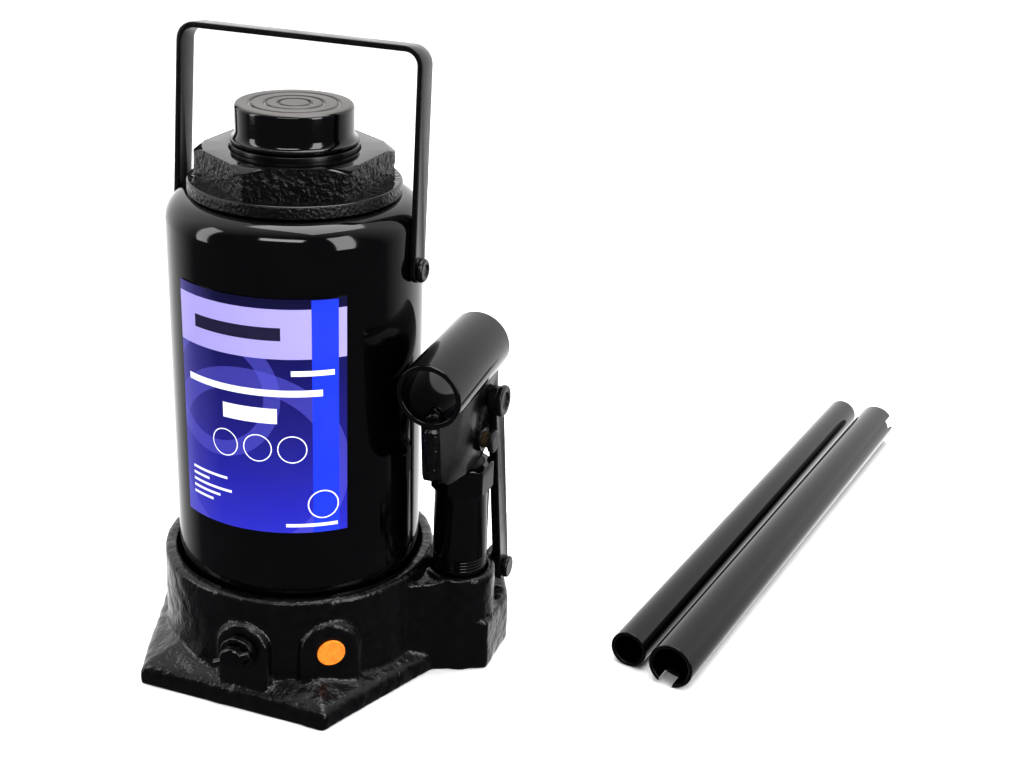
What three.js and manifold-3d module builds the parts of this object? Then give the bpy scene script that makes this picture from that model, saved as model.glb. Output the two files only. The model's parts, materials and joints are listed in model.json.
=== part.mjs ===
// Hydraulic bottle jack with its two loose handle tubes.
// Millimetres, +Z up. The origin is on the ram's axis, on the underside of the base.
// The handle socket's mouth and the release valve face -Y; the pump stands on the +X side.

import * as THREE from 'three';
import { mergeVertices } from 'three/addons/utils/BufferGeometryUtils.js';
import Module from 'manifold-3d';

const wasm = await Module();
wasm.setup();

// ---------- driving dimensions ----------

const CLOSED_HEIGHT = 255; // floor to saddle face with the ram down
const TANK_RADIUS = 54.7;
const GAP = 0.3; // clearance between pieces that touch or slide
const SEAL_GAP = 0.1; // the closer clearance of a seal in its bore
const OVERCUT = 1; // how far a cut runs past a face, and a joined shape into its neighbour
const THROUGH = 20; // half-length of cuts that cross a whole piece

// tank, pressure cylinder and ram
const TANK_WALL = 3;
const TANK_BOTTOM = 42.5;
const SHOULDER_RADIUS = 11;
const RAM_RADIUS = 23;
const RAM_BOTTOM = 44;
const CYLINDER_WALL = 7;
const CYLINDER_BOTTOM = 30.5;
const CYLINDER_IN_NUT = 0.5; // how far the cylinder reaches up past the nut's flange
const PISTON_STEP = 2; // from the ram's side out to the cylinder's bore
const PISTON_HEIGHT = 16;
const PISTON_LAND = 5;
const GUIDE_DEPTH = 1.6;
const RAM_SEAL = { height: 7, web: 4, hole: 12, lip: 2, rim: 4 };

// saddle on top of the ram
const SADDLE_PROUD = 1.9; // saddle's side beyond the ram's
const SADDLE_FLARE = 2.1;
const SADDLE_HEIGHT = 16;
const SADDLE_REST = 0.5; // from the wiper ring up to the lowered saddle
const SADDLE_GROOVES = [6.8, 12.2, 18.6];
const GROOVE_WIDTH = 1;
const LIP = { chamfer: 0.7, height: 1.5, neck: 5 };
const SADDLE_CHAMFER = 1;
const SPIGOT_RADIUS = 10;
const SPIGOT_LENGTH = 12;

// top nut and wiper ring
const NUT_FLAT_WALL = 4.8; // from the cylinder's side out to the hexagon's flats
const NUT_FLANGE_PAST = 2.8; // flange beyond the hexagon's corners
const NUT_FLANGE_HEIGHT = 5.7;
const NUT_HEX_HEIGHT = 13;
const NUT_CHAMFER = 4;
const NUT_SPIGOT_WALL = 2.5;
const NUT_SPIGOT_LENGTH = 12;
const NUT_TURN = -62.5; // degrees, the way one flat faces
const WIPER_WALL = 4;
const WIPER_HEIGHT = 5.5;
const WIPER_PROUD = 2;

// base casting
const COLLAR_PLAY = 1.3; // round the tank
const COLLAR_WALL = 5.8;
const COLLAR_TOP = 52;
const RIM_ROUND = 2;
const FLANGE_TOE = 7.2; // flange in front of the collar
const FLANGE_WING = 8.7; // flange beside the collar
const FLANGE_FRONT_HALF = 45.5;
const FLANGE_SIDE_Y = 6;
const FLANGE_EDGE = 8.5;
const FLANGE_RISE = 7;
const FLANGE_SLOPE_WIDTH = 16;
const RESERVOIR_FLOOR = 44;
const GASKET_HEIGHT = 3;
const GASKET_WALL = 6;

// valve bosses on the collar
const VALVE_HEIGHT = 28;
const VALVE_BORE = 5;
const VALVE_DEPTH = 25; // from the release boss's face in to both valve seats
const VALVE_BALL_RADIUS = 4.5;
const RELEASE_X = 4;
const RELEASE_BOSS_PROUD = 3.2;
const RELEASE_BOSS_RADIUS = 12.5;
const RELEASE_GLAND = { radius: 8, length: 4 };
const RELEASE_HEAD = { radius: 5.7, length: 5, chamfer: 0.8 };
const RELEASE_PIN = { radius: 1.9, length: 19.5, tilt: 26 }; // tilt in degrees
const RELEASE_POINT = { radius: 2, length: 3 };
const SAFETY_ANGLE = -51.5; // degrees round the tank
const SAFETY_BOSS_PROUD = 2.7;
const SAFETY_BOSS_RADIUS = 13.5;
const SAFETY_PLUG_LENGTH = 7;
const SAFETY_SPRING = { radius: 3.4, wire: 0.8, turns: 3 };
const CAP = { radius: 6.2, thickness: 0.8 };

// check valves, each in a pocket drilled up into the base and closed by a screwed plug
const BALL_RADIUS = 3;
const DISCHARGE_X = 16;
const SUCTION_POCKET_TOP = 14;
const DISCHARGE_POCKET_TOP = 18;
const CHECK_PASSAGE = 2;
const CHECK_PLUG = { low: 1, high: 6 };
const CHECK_SPRING = { wire: 0.35, turns: 4 };

// pump
const PUMP_BESIDE = 0.6; // pump's side beyond the collar
const PUMP_Y = 12.6;
const PUMP_RADIUS = 12.3;
const PUMP_BOSS_WALL = 4.3;
const PUMP_BOSS_TOP = 47.5;
const PUMP_BOTTOM = 16;
const PUMP_HEX_BOTTOM = 87;
const PUMP_HEX_HEIGHT = 13;
const PUMP_HEX_PROUD = 2.1;
const PUMP_HEX_TURN = 27; // degrees
const PUMP_BORE = 7;
const PUMP_ROD_PLAY = 0.6;
const PUMP_ROD_BOTTOM = 26;
const PUMP_CUP = { height: 5, web: 3, nose: 3, lip: 4.5 };
const GLAND_SEAL = { wall: 2.5, height: 5 };
const PISTON_HEAD = { half: 5.1, top: 6.8 }; // flat sides, and the round top above the pin
const PIN_RISE = 12; // piston pin above the pump, with the piston down
const PISTON_PIN_RADIUS = 3.4;
const PISTON_PIN_PROUD = 15.4;
const PIN_HEAD_PROUD = 1.7; // head beyond the shank
const PIN_END = 3; // shank past the piece it holds
const HEAD_THICKNESS = 2.4;
const WASHER = { past: 0.4, thickness: 1.6 };
const CLIP_THICKNESS = 1.3;

// block beside the pump, which carries the links' foot; places are from the pump's axis
const BLOCK_TOP = 25;
const BLOCK_SIDE = 1.2; // beyond the pump boss
const BLOCK_CORNER = 8;
const BLOCK_FRONT = { x: -3.2, y: -18.9 };
const BLOCK_BEVEL_Y = -8.6;
const BLOCK_ROOTS = [[-26.7, -32.6], [-24.7, 35], [-34.7, 17.4]];
const WEB_DROP = 1.5; // below the boss's top
const WEB_INSET = 0.4;
const WEB_FRONT = [[-28.7, -42.6], [-16.7, -28.6]];
const WEB_BACK = [-26.7, 23.4];

// lever: a socket tube welded on a bracket, whose two cheeks swing on the piston pin
const LEVER_TILT = 4; // degrees, mouth down
const SOCKET_RADIUS = 14.4;
const SOCKET_WALL = 2.4;
const SOCKET_RISE = 23.6; // from the piston pin up to the socket's underside
const SOCKET_FRONT = 39.9; // in front of the piston pin
const SOCKET_BACK = 18.7; // behind the piston pin
const CHEEK_WALL = 2.5;
const CHEEK_REACH = 10; // round end of the cheeks about the piston pin
const CHEEK_CORNER = 8; // height where the round end meets the back edge
const CHEEK_PAST_FULCRUM = 9.5;
const CHEEK_NOSE = [[1.4, 0], [3, 2], [3.6, -6], [11, -7.5]]; // y back from the socket's mouth
const CHEEK_BELLY = 2; // in front of the piston pin, where the lower edge meets the round end
const PINCH_HALF = 3.8; // half the bracket's width at its front edge
const PINCH_LENGTH = 22; // how far back the cheeks reach their full width
const FRONT_WELD = 4; // depth of the weld that joins the cheeks at the front

// links from the lever bracket down to the base
const FULCRUM_INSET = 1.4; // fulcrum behind the piston pin, short of the pump's hexagon corner
const FULCRUM_RISE = 13.6;
const FULCRUM_PLAY = 1.5; // the opened pivot: how much larger the bracket's holes are than the pin
const FULCRUM_PIN_RADIUS = 4;
const FULCRUM_HEAD_PROUD = 3.2;
const LINK_FOOT_BACK = 11.4; // foot pin behind the pump boss
const LINK_FOOT_HEIGHT = 34;
const LINK_THICKNESS = 4;
const LINK_HALF_WIDTH = 5.2;
const LINK_EYE_RADIUS = 6.4;
const FOOT_PIN_RADIUS = 3.4;
const LUG_PLAY = 0.5; // beside the link
const LUG_THICKNESS = 4;
const LUG_RADIUS = 9;
const LUG_ROOT = 5; // how far the lug starts below the block's top

// carry handle
const BAIL_PIVOT_DROP = 27; // below the tank's top
const BAIL_ABOVE_SADDLE = 27.7;
const BAIL_BESIDE_TANK = 3.1; // outer face beyond the tank
const BAIL_NARROWING = 1.4;
const BAIL_STRAP = 11;
const BAIL_LEAN = THREE.MathUtils.degToRad(5); // backwards, at rest
const BAIL_THICKNESS = 2.4;
const BAIL_CORNER = 8;
const RIVET = { radius: 3, head: 5.2, height: 2.2 };

// rubber filler plug at the back of the tank
const FILLER_DROP = 39.5; // below the tank's top
const FILLER = { radius: 4.5, head: 7.5, inside: 2, outside: 4 };

// label on the tank
const LABEL_CENTRE = -81.5; // degrees round the tank
const LABEL_SPAN = 80; // degrees
const LABEL_DROP = 29.2; // below the tank's top
const LABEL_HEIGHT = 105.5;
const LABEL_THICKNESS = 0.4;

// handle tubes lying on the floor; places are from the pump's axis
const TUBE_LENGTH = 320;
const TUBE_TURN = -9; // degrees from +Y, towards +X
const TUBE_WALL = 1.9;
const THIN_TUBE = { radius: 8.8, x: 77.6, y: 20 };
const WIDE_TUBE = { radius: 10.75, x: 99.8, y: 11 };
const NOTCH_WIDTH = 7;
const NOTCH_DEPTH = 10;
const NEAR_NOTCH_TURN = -100; // degrees round the wide tube, seen from its near end
const FAR_NOTCH_TURN = 20;

// facets round a full turn
const ROUND = 40; // large round pieces
const MEDIUM = 24; // washers, clips and pin heads
const SMALL = 20; // pins and bores
const HIDDEN = 28; // rings inside the jack
const TUBE_FACETS = 32;
const SOCKET_FACETS = 48;

// ---------- dimensions that follow from those above ----------

const SADDLE_LOW = CLOSED_HEIGHT - SADDLE_HEIGHT;
const NUT_TOP = SADDLE_LOW - SADDLE_REST - WIPER_PROUD;
const NUT_FLANGE_TOP = NUT_TOP - NUT_HEX_HEIGHT;
const NUT_BOTTOM = NUT_FLANGE_TOP - NUT_FLANGE_HEIGHT;
const TANK_TOP = NUT_BOTTOM - GAP;
const CYLINDER_BORE = RAM_RADIUS + PISTON_STEP;
const CYLINDER_RADIUS = CYLINDER_BORE + CYLINDER_WALL;
const CYLINDER_TOP = NUT_FLANGE_TOP + CYLINDER_IN_NUT;
const CYLINDER_SEAT = CYLINDER_BOTTOM - GASKET_HEIGHT - 2 * GAP;
const TANK_SEAT = TANK_BOTTOM - GASKET_HEIGHT - 2 * GAP;
const PISTON_RADIUS = CYLINDER_BORE - GAP;
const WIPER_RADIUS = RAM_RADIUS + WIPER_WALL;
const SADDLE_RADIUS = RAM_RADIUS + SADDLE_PROUD;
const SADDLE_LIP_RADIUS = SADDLE_RADIUS + SADDLE_FLARE;
const NUT_HEX_CORNER = (CYLINDER_RADIUS + NUT_FLAT_WALL) / Math.cos(Math.PI / 6);
const NUT_CHAMFER_RADIUS = NUT_HEX_CORNER - NUT_CHAMFER;
const NUT_FLANGE_RADIUS = NUT_HEX_CORNER + NUT_FLANGE_PAST;
const NUT_SPIGOT_RADIUS = CYLINDER_RADIUS + NUT_SPIGOT_WALL;

const COLLAR_INNER = TANK_RADIUS + COLLAR_PLAY;
const COLLAR_RADIUS = COLLAR_INNER + COLLAR_WALL;
const FLANGE_FRONT = COLLAR_RADIUS + FLANGE_TOE;
const FLANGE_SIDE_HALF = COLLAR_RADIUS + FLANGE_WING;
const RELEASE_FACE = COLLAR_RADIUS + RELEASE_BOSS_PROUD;
const SAFETY_FACE = COLLAR_RADIUS + SAFETY_BOSS_PROUD;
const VALVE_SEAT = RELEASE_FACE - VALVE_DEPTH;

const PUMP_X = COLLAR_RADIUS + PUMP_BESIDE + PUMP_RADIUS;
const PUMP_BOSS_RADIUS = PUMP_RADIUS + PUMP_BOSS_WALL;
const PUMP_TOP = PUMP_HEX_BOTTOM + PUMP_HEX_HEIGHT;
const PUMP_HEX_CORNER = PUMP_RADIUS + PUMP_HEX_PROUD;
const PUMP_ROD_RADIUS = PUMP_BORE - PUMP_ROD_PLAY;
const PUMP_GLAND_RADIUS = PUMP_BORE + GLAND_SEAL.wall;
const PIN_HEIGHT = PUMP_TOP + PIN_RISE;
const CHEEK_INNER = PISTON_HEAD.half + GAP;
const CHEEK_OUTER = CHEEK_INNER + CHEEK_WALL;
const PISTON_PIN_HEAD = PISTON_PIN_RADIUS + PIN_HEAD_PROUD;
const WASHER_RADIUS = PISTON_PIN_HEAD + WASHER.past;

const SOCKET_AXIS = SOCKET_RISE + SOCKET_RADIUS;
const FULCRUM = { y: PUMP_HEX_CORNER - FULCRUM_INSET, z: FULCRUM_RISE }; // in the lever's frame
const FULCRUM_HEAD_RADIUS = FULCRUM_PIN_RADIUS + FULCRUM_HEAD_PROUD;
const FOOT_HEAD_RADIUS = FOOT_PIN_RADIUS + PIN_HEAD_PROUD;
const FOOT = { y: PUMP_BOSS_RADIUS + LINK_FOOT_BACK, z: LINK_FOOT_HEIGHT }; // y from the pump axis
const LINK_INNER = CHEEK_OUTER + GAP;
const LINK_OUTER = LINK_INNER + LINK_THICKNESS;
const LUG_INNER = LINK_INNER - LUG_PLAY - LUG_THICKNESS;

const BAIL_PIVOT = TANK_TOP - BAIL_PIVOT_DROP;
const BAIL_TOP = CLOSED_HEIGHT + BAIL_ABOVE_SADDLE;
const BAIL_HALF_WIDTH = TANK_RADIUS + BAIL_BESIDE_TANK;
const FILLER_HEIGHT = TANK_TOP - FILLER_DROP;
const LABEL_TOP = TANK_TOP - LABEL_DROP;
const LABEL_BOTTOM = LABEL_TOP - LABEL_HEIGHT;

// ---------- materials ----------

function paint(colour, roughness, metalness = 0) {
  return () => new THREE.MeshStandardMaterial({ color: colour, roughness, metalness });
}

const FINISH = {
  gloss: paint(0x0b0b0c, 0.12),
  cast: paint(0x101112, 0.5),
  nut: paint(0x111213, 0.35),
  steel: paint(0x8a8d90, 0.3, 1),
  black: paint(0x0d0d0e, 0.25),
  rubber: paint(0x141414, 0.8),
  brass: paint(0xb08a3c, 0.35, 1),
  label: paint(0x2533a8, 0.3),
  orange: paint(0xf08a24, 0.5),
};

// ---------- geometry helpers ----------

const rad = THREE.MathUtils.degToRad;
const MERGE_DISTANCE = 1e-4;
const SPRING_STEPS = 9; // sections in each turn of a spring

// same geometry with shared vertices merged and flat triangles left out
function tidy(geometry) {
  const bare = geometry.clone();
  bare.deleteAttribute('normal');
  bare.deleteAttribute('uv');
  const merged = mergeVertices(bare, MERGE_DISTANCE);
  const index = merged.index.array;
  const kept = [];
  for (let i = 0; i < index.length; i += 3) {
    const [a, b, c] = [index[i], index[i + 1], index[i + 2]];
    if (a !== b && b !== c && c !== a) kept.push(a, b, c);
  }
  merged.setIndex(kept);
  return merged;
}

// closed geometry as a solid that can be joined and cut
function solid(geometry) {
  const merged = tidy(geometry);
  const vertProperties = new Float32Array(merged.attributes.position.array);
  const triVerts = new Uint32Array(merged.index.array);
  return new wasm.Manifold(new wasm.Mesh({ numProp: 3, vertProperties, triVerts }));
}

function toGeometry(manifold) {
  const mesh = manifold.getMesh();
  const geometry = new THREE.BufferGeometry();
  geometry.setAttribute('position', new THREE.BufferAttribute(mesh.vertProperties, 3));
  geometry.setIndex(new THREE.BufferAttribute(mesh.triVerts, 1));
  geometry.computeVertexNormals();
  return geometry;
}

// upright cylinder from z0 to z1
function rod(radius, z0, z1, facets = ROUND) {
  const geometry = new THREE.CylinderGeometry(radius, radius, z1 - z0, facets);
  geometry.rotateX(Math.PI / 2);
  geometry.translate(0, 0, (z0 + z1) / 2);
  return geometry;
}

// turned piece from [radius, height] points, outside upwards
function turned(points, facets = ROUND) {
  const profile = points.map(([r, z]) => new THREE.Vector2(r, z));
  const geometry = new THREE.LatheGeometry(profile, facets);
  geometry.rotateX(Math.PI / 2);
  return geometry;
}

// flat ring from z0 to z1
function ring(inner, outer, z0, z1, facets = ROUND) {
  return turned([[inner, z0], [outer, z0], [outer, z1], [inner, z1], [inner, z0]], facets);
}

function outline(points) {
  return new THREE.Shape(points.map(([x, y]) => new THREE.Vector2(x, y)));
}

// plate with a plan outline, standing from z0 to z1
function slab(shape, z0, z1, curveSegments = 16) {
  const settings = { depth: z1 - z0, bevelEnabled: false, curveSegments };
  const geometry = new THREE.ExtrudeGeometry(shape, settings);
  geometry.translate(0, 0, z0);
  return geometry;
}

// plate whose outline is drawn in the Y-Z plane, from x0 to x1
function sidePlate(shape, x0, x1, curveSegments = 16) {
  const geometry = slab(shape, x0, x1, curveSegments);
  geometry.rotateX(Math.PI / 2);
  geometry.rotateZ(Math.PI / 2);
  return geometry;
}

function box(x0, x1, y0, y1, z0, z1) {
  const geometry = new THREE.BoxGeometry(x1 - x0, y1 - y0, z1 - z0);
  geometry.translate((x0 + x1) / 2, (y0 + y1) / 2, (z0 + z1) / 2);
  return geometry;
}

// round bar along X from x0 to x1
function crossBar(radius, x0, x1, facets = SMALL) {
  return rod(radius, x0, x1, facets).rotateY(Math.PI / 2);
}

// flat ring standing across X, from x = 0 to its thickness
function washer(inner, outer, thickness) {
  return ring(inner, outer, 0, thickness, MEDIUM).rotateY(Math.PI / 2);
}

function hexagon(corner) {
  const points = [];
  for (let i = 0; i < 6; i += 1) {
    const a = rad(60 * i);
    points.push([corner * Math.cos(a), corner * Math.sin(a)]);
  }
  return outline(points);
}

// headed pin across X: a shank from x0 to the head, whose outer face is at x1
function headedPin(radius, headRadius, x0, x1, headThickness = HEAD_THICKNESS) {
  const headLow = x1 - headThickness;
  const shank = crossBar(radius, x0, headLow + OVERCUT, MEDIUM);
  const head = crossBar(headRadius, headLow, x1, MEDIUM);
  return solid(shank).add(solid(head));
}

class Helix extends THREE.Curve {
  constructor(radius, low, high, turns) {
    super();
    Object.assign(this, { radius, low, high, turns });
  }

  getPoint(t, target = new THREE.Vector3()) {
    const a = 2 * Math.PI * this.turns * t;
    const z = THREE.MathUtils.lerp(this.low, this.high, t);
    return target.set(this.radius * Math.cos(a), this.radius * Math.sin(a), z);
  }
}

// round-wire compression spring standing from z0 to z1; radius is to the wire's centre
function springCoil({ radius, wire, turns }, z0, z1) {
  const section = new THREE.Shape();
  section.absarc(0, 0, wire, 0, 2 * Math.PI, false);
  return new THREE.ExtrudeGeometry(section, {
    steps: SPRING_STEPS * turns,
    bevelEnabled: false,
    curveSegments: 3,
    extrudePath: new Helix(radius, z0 + wire, z1 - wire, turns),
  });
}

// ---------- the scene graph ----------

const jack = new THREE.Group();

function addPiece(group, name, shape, finish) {
  const geometry = shape.isBufferGeometry ? tidy(shape) : toGeometry(shape);
  geometry.computeVertexNormals();
  const mesh = new THREE.Mesh(geometry, finish());
  mesh.name = name;
  group.add(mesh);
  return mesh;
}

function group(parent, x = 0, y = 0, z = 0, rotation = {}) {
  const child = new THREE.Group();
  child.position.set(x, y, z);
  child.rotation.set(rotation.x ?? 0, rotation.y ?? 0, rotation.z ?? 0);
  parent.add(child);
  return child;
}

// ---------- base casting ----------

function flangeSolid() {
  const shape = outline([
    [-FLANGE_FRONT_HALF, -FLANGE_FRONT], [FLANGE_FRONT_HALF, -FLANGE_FRONT],
    [FLANGE_SIDE_HALF, -FLANGE_SIDE_Y], [FLANGE_SIDE_HALF, FLANGE_SIDE_Y],
    [FLANGE_FRONT_HALF, FLANGE_FRONT], [-FLANGE_FRONT_HALF, FLANGE_FRONT],
    [-FLANGE_SIDE_HALF, FLANGE_SIDE_Y], [-FLANGE_SIDE_HALF, -FLANGE_SIDE_Y],
  ]);
  const hipped = solid(new THREE.ExtrudeGeometry(shape, {
    depth: FLANGE_EDGE,
    bevelEnabled: true,
    bevelThickness: FLANGE_RISE,
    bevelSize: FLANGE_SLOPE_WIDTH,
    bevelOffset: -FLANGE_SLOPE_WIDTH,
    bevelSegments: 1,
  }));
  const reach = 2 * FLANGE_FRONT;
  return hipped.intersect(solid(box(-reach, reach, -reach, reach, 0, COLLAR_TOP)));
}

const RIM_STEPS = 4;

function collarSolid() {
  const round = [];
  for (let i = 0; i <= RIM_STEPS; i += 1) {
    const a = rad(90 * i / RIM_STEPS);
    round.push([
      COLLAR_RADIUS - RIM_ROUND + RIM_ROUND * Math.cos(a),
      COLLAR_TOP - RIM_ROUND + RIM_ROUND * Math.sin(a),
    ]);
  }
  return solid(turned([[0, 0], [COLLAR_RADIUS, 0], ...round, [0, COLLAR_TOP]]));
}

// arched boss standing out of the collar towards -Y, its face at y = -face
function archedBoss(radius, face) {
  const arch = new THREE.Shape();
  arch.moveTo(-radius, 0);
  arch.lineTo(radius, 0);
  arch.lineTo(radius, VALVE_HEIGHT);
  arch.absarc(0, VALVE_HEIGHT, radius, 0, Math.PI, false);
  const geometry = slab(arch, 0, face - VALVE_SEAT, 12);
  geometry.rotateX(Math.PI / 2);
  geometry.translate(0, -VALVE_SEAT, 0);
  return geometry;
}

// round bore or bar along -Y at valve height, between two distances from the axis
function valveBar(radius, from, to, facets = SMALL) {
  const geometry = rod(radius, from, to, facets);
  geometry.rotateX(Math.PI / 2);
  geometry.translate(0, 0, VALVE_HEIGHT);
  return geometry;
}

// boss round the pump, the block beside it, and the web that joins both to the collar
function pumpEndSolid() {
  const boss = rod(PUMP_BOSS_RADIUS, 0, PUMP_BOSS_TOP);
  const side = PUMP_BOSS_RADIUS + BLOCK_SIDE;
  const back = FOOT.y + LUG_RADIUS;
  const block = slab(outline([
    BLOCK_ROOTS[0], [BLOCK_FRONT.x, BLOCK_FRONT.y], [side, BLOCK_BEVEL_Y],
    [side, back - LUG_RADIUS - BLOCK_CORNER], [side - BLOCK_CORNER, back],
    ...BLOCK_ROOTS.slice(1),
  ]), 0, BLOCK_TOP);
  const half = PUMP_BOSS_RADIUS - WEB_INSET;
  const web = slab(outline([...WEB_FRONT, [0, -half], [0, half], WEB_BACK]), 0, PUMP_BOSS_TOP - WEB_DROP);
  let body = solid(boss).add(solid(block)).add(solid(web));
  for (const x of [LUG_INNER, -LUG_INNER - LUG_THICKNESS]) body = body.add(lugSolid(x));
  return body.translate([PUMP_X, PUMP_Y, 0]);
}

// ear that carries the links' foot pin, its inner or outer face at x
function lugSolid(x) {
  const low = BLOCK_TOP - LUG_ROOT;
  const shape = new THREE.Shape();
  shape.moveTo(FOOT.y - LUG_RADIUS, low);
  shape.lineTo(FOOT.y + LUG_RADIUS, low);
  shape.lineTo(FOOT.y + LUG_RADIUS, FOOT.z);
  shape.absarc(FOOT.y, FOOT.z, LUG_RADIUS, 0, Math.PI, false);
  return solid(sidePlate(shape, x, x + LUG_THICKNESS, 12));
}

// turns what was made facing -Y to face an angle round the tank
function valveTurn(geometry, angle) {
  return geometry.rotateZ(rad(angle + 90));
}

// small hole up from a check valve's pocket to what it feeds
function checkPassage(pocketTop, floor) {
  return rod(CHECK_PASSAGE, pocketTop - OVERCUT, floor + OVERCUT, SMALL);
}

function baseSolid() {
  let body = flangeSolid().add(collarSolid()).add(pumpEndSolid());
  body = body.add(solid(archedBoss(RELEASE_BOSS_RADIUS, RELEASE_FACE).translate(RELEASE_X, 0, 0)));
  body = body.add(solid(valveTurn(archedBoss(SAFETY_BOSS_RADIUS, SAFETY_FACE), SAFETY_ANGLE)));

  const pocket = BALL_RADIUS + GAP;
  const above = COLLAR_TOP + OVERCUT;
  const cuts = [
    rod(CYLINDER_RADIUS + GAP, CYLINDER_SEAT, above),
    rod(COLLAR_INNER, RESERVOIR_FLOOR, above),
    ring(TANK_RADIUS - GASKET_WALL, COLLAR_INNER, TANK_SEAT, above),
    valveBar(VALVE_BORE, VALVE_SEAT, RELEASE_FACE + OVERCUT).translate(RELEASE_X, 0, 0),
    valveTurn(valveBar(VALVE_BORE, VALVE_SEAT, SAFETY_FACE + OVERCUT), SAFETY_ANGLE),
    rod(PUMP_RADIUS + GAP, PUMP_BOTTOM - GAP, PUMP_BOSS_TOP + OVERCUT).translate(PUMP_X, PUMP_Y, 0),
    rod(pocket, -OVERCUT, SUCTION_POCKET_TOP, SMALL).translate(PUMP_X, PUMP_Y, 0),
    checkPassage(SUCTION_POCKET_TOP, PUMP_BOTTOM).translate(PUMP_X, PUMP_Y, 0),
    rod(pocket, -OVERCUT, DISCHARGE_POCKET_TOP, SMALL).translate(DISCHARGE_X, 0, 0),
    checkPassage(DISCHARGE_POCKET_TOP, CYLINDER_SEAT).translate(DISCHARGE_X, 0, 0),
    crossBar(FOOT_PIN_RADIUS + GAP, -LINK_INNER, LINK_INNER)
      .translate(PUMP_X, PUMP_Y + FOOT.y, FOOT.z),
  ];
  for (const cut of cuts) body = body.subtract(solid(cut));
  return body;
}

function buildBase() {
  addPiece(jack, 'base_casting', baseSolid(), FINISH.cast);
}

// balls, springs and plugs of the two check valves
function buildCheckValves() {
  const pockets = { suction: [PUMP_X, PUMP_Y], discharge: [DISCHARGE_X, 0] };
  const ballZ = CHECK_PLUG.high + GAP + BALL_RADIUS;
  for (const [name, [x, y]] of Object.entries(pockets)) {
    const pocket = group(jack, x, y, 0);
    const plug = rod(BALL_RADIUS, CHECK_PLUG.low, CHECK_PLUG.high, SMALL);
    addPiece(pocket, `${name}_valve_plug`, plug, FINISH.steel);
    const ball = new THREE.SphereGeometry(BALL_RADIUS, 14, 8);
    addPiece(pocket, `${name}_valve_ball`, ball, FINISH.steel).position.z = ballZ;
  }
  const low = ballZ + BALL_RADIUS + GAP;
  const high = DISCHARGE_POCKET_TOP - GAP;
  const spring = group(jack, DISCHARGE_X, 0, 0);
  const radius = BALL_RADIUS - CHECK_SPRING.wire;
  const coil = springCoil({ radius, ...CHECK_SPRING }, low, high);
  addPiece(spring, 'discharge_valve_spring', coil, FINISH.steel);
}

// ---------- tank, nut, pressure cylinder ----------

const SHOULDER_STEPS = 4;

function tankShell() {
  const outer = [[TANK_RADIUS, TANK_BOTTOM]];
  const inner = [];
  for (let i = 0; i <= SHOULDER_STEPS; i += 1) {
    const a = rad(90 * i / SHOULDER_STEPS);
    const c = TANK_RADIUS - SHOULDER_RADIUS;
    const z = TANK_TOP - SHOULDER_RADIUS;
    outer.push([c + SHOULDER_RADIUS * Math.cos(a), z + SHOULDER_RADIUS * Math.sin(a)]);
    const r = SHOULDER_RADIUS - TANK_WALL;
    inner.unshift([c + r * Math.cos(a), z + r * Math.sin(a)]);
  }
  const mouth = NUT_SPIGOT_RADIUS + GAP;
  const profile = [
    ...outer, [mouth, TANK_TOP], [mouth, TANK_TOP - TANK_WALL], ...inner,
    [TANK_RADIUS - TANK_WALL, TANK_BOTTOM], [TANK_RADIUS, TANK_BOTTOM],
  ];
  const near = TANK_RADIUS - TANK_WALL - OVERCUT;
  const fillerHole = backBar(FILLER.radius + GAP, near, TANK_RADIUS + OVERCUT);
  return solid(turned(profile)).subtract(solid(fillerHole));
}

// round bar along +Y at the filler plug's height, between two distances from the axis
function backBar(radius, from, to) {
  const geometry = rod(radius, from, to, SMALL);
  geometry.rotateX(-Math.PI / 2);
  geometry.translate(0, 0, FILLER_HEIGHT);
  return geometry;
}

function topNut() {
  const hex = slab(hexagon(NUT_HEX_CORNER), NUT_FLANGE_TOP - OVERCUT, NUT_TOP);
  hex.rotateZ(rad(NUT_TURN + 30));
  const slope = Math.tan(rad(30));
  const outer = NUT_HEX_CORNER + OVERCUT;
  const cone = turned([
    [0, NUT_FLANGE_TOP - 2 * OVERCUT], [outer, NUT_FLANGE_TOP - 2 * OVERCUT],
    [outer, NUT_TOP - (outer - NUT_CHAMFER_RADIUS) * slope],
    [NUT_CHAMFER_RADIUS, NUT_TOP], [0, NUT_TOP],
  ]);
  const flange = rod(NUT_FLANGE_RADIUS, NUT_BOTTOM, NUT_FLANGE_TOP);
  const spigotLow = NUT_BOTTOM - NUT_SPIGOT_LENGTH;
  const spigot = rod(NUT_SPIGOT_RADIUS, spigotLow, NUT_BOTTOM + OVERCUT);
  const cylinderBore = rod(CYLINDER_RADIUS + GAP, spigotLow - OVERCUT, CYLINDER_TOP + GAP);
  const wiperLow = NUT_TOP - WIPER_HEIGHT + WIPER_PROUD - GAP;
  const wiperSeat = rod(WIPER_RADIUS + GAP, wiperLow, NUT_TOP + OVERCUT);
  const ramBore = rod(RAM_RADIUS + GAP, NUT_BOTTOM, NUT_TOP + OVERCUT);
  let body = solid(hex).intersect(solid(cone)).add(solid(flange)).add(solid(spigot));
  for (const cut of [cylinderBore, wiperSeat, ramBore]) body = body.subtract(solid(cut));
  return body;
}

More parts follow.
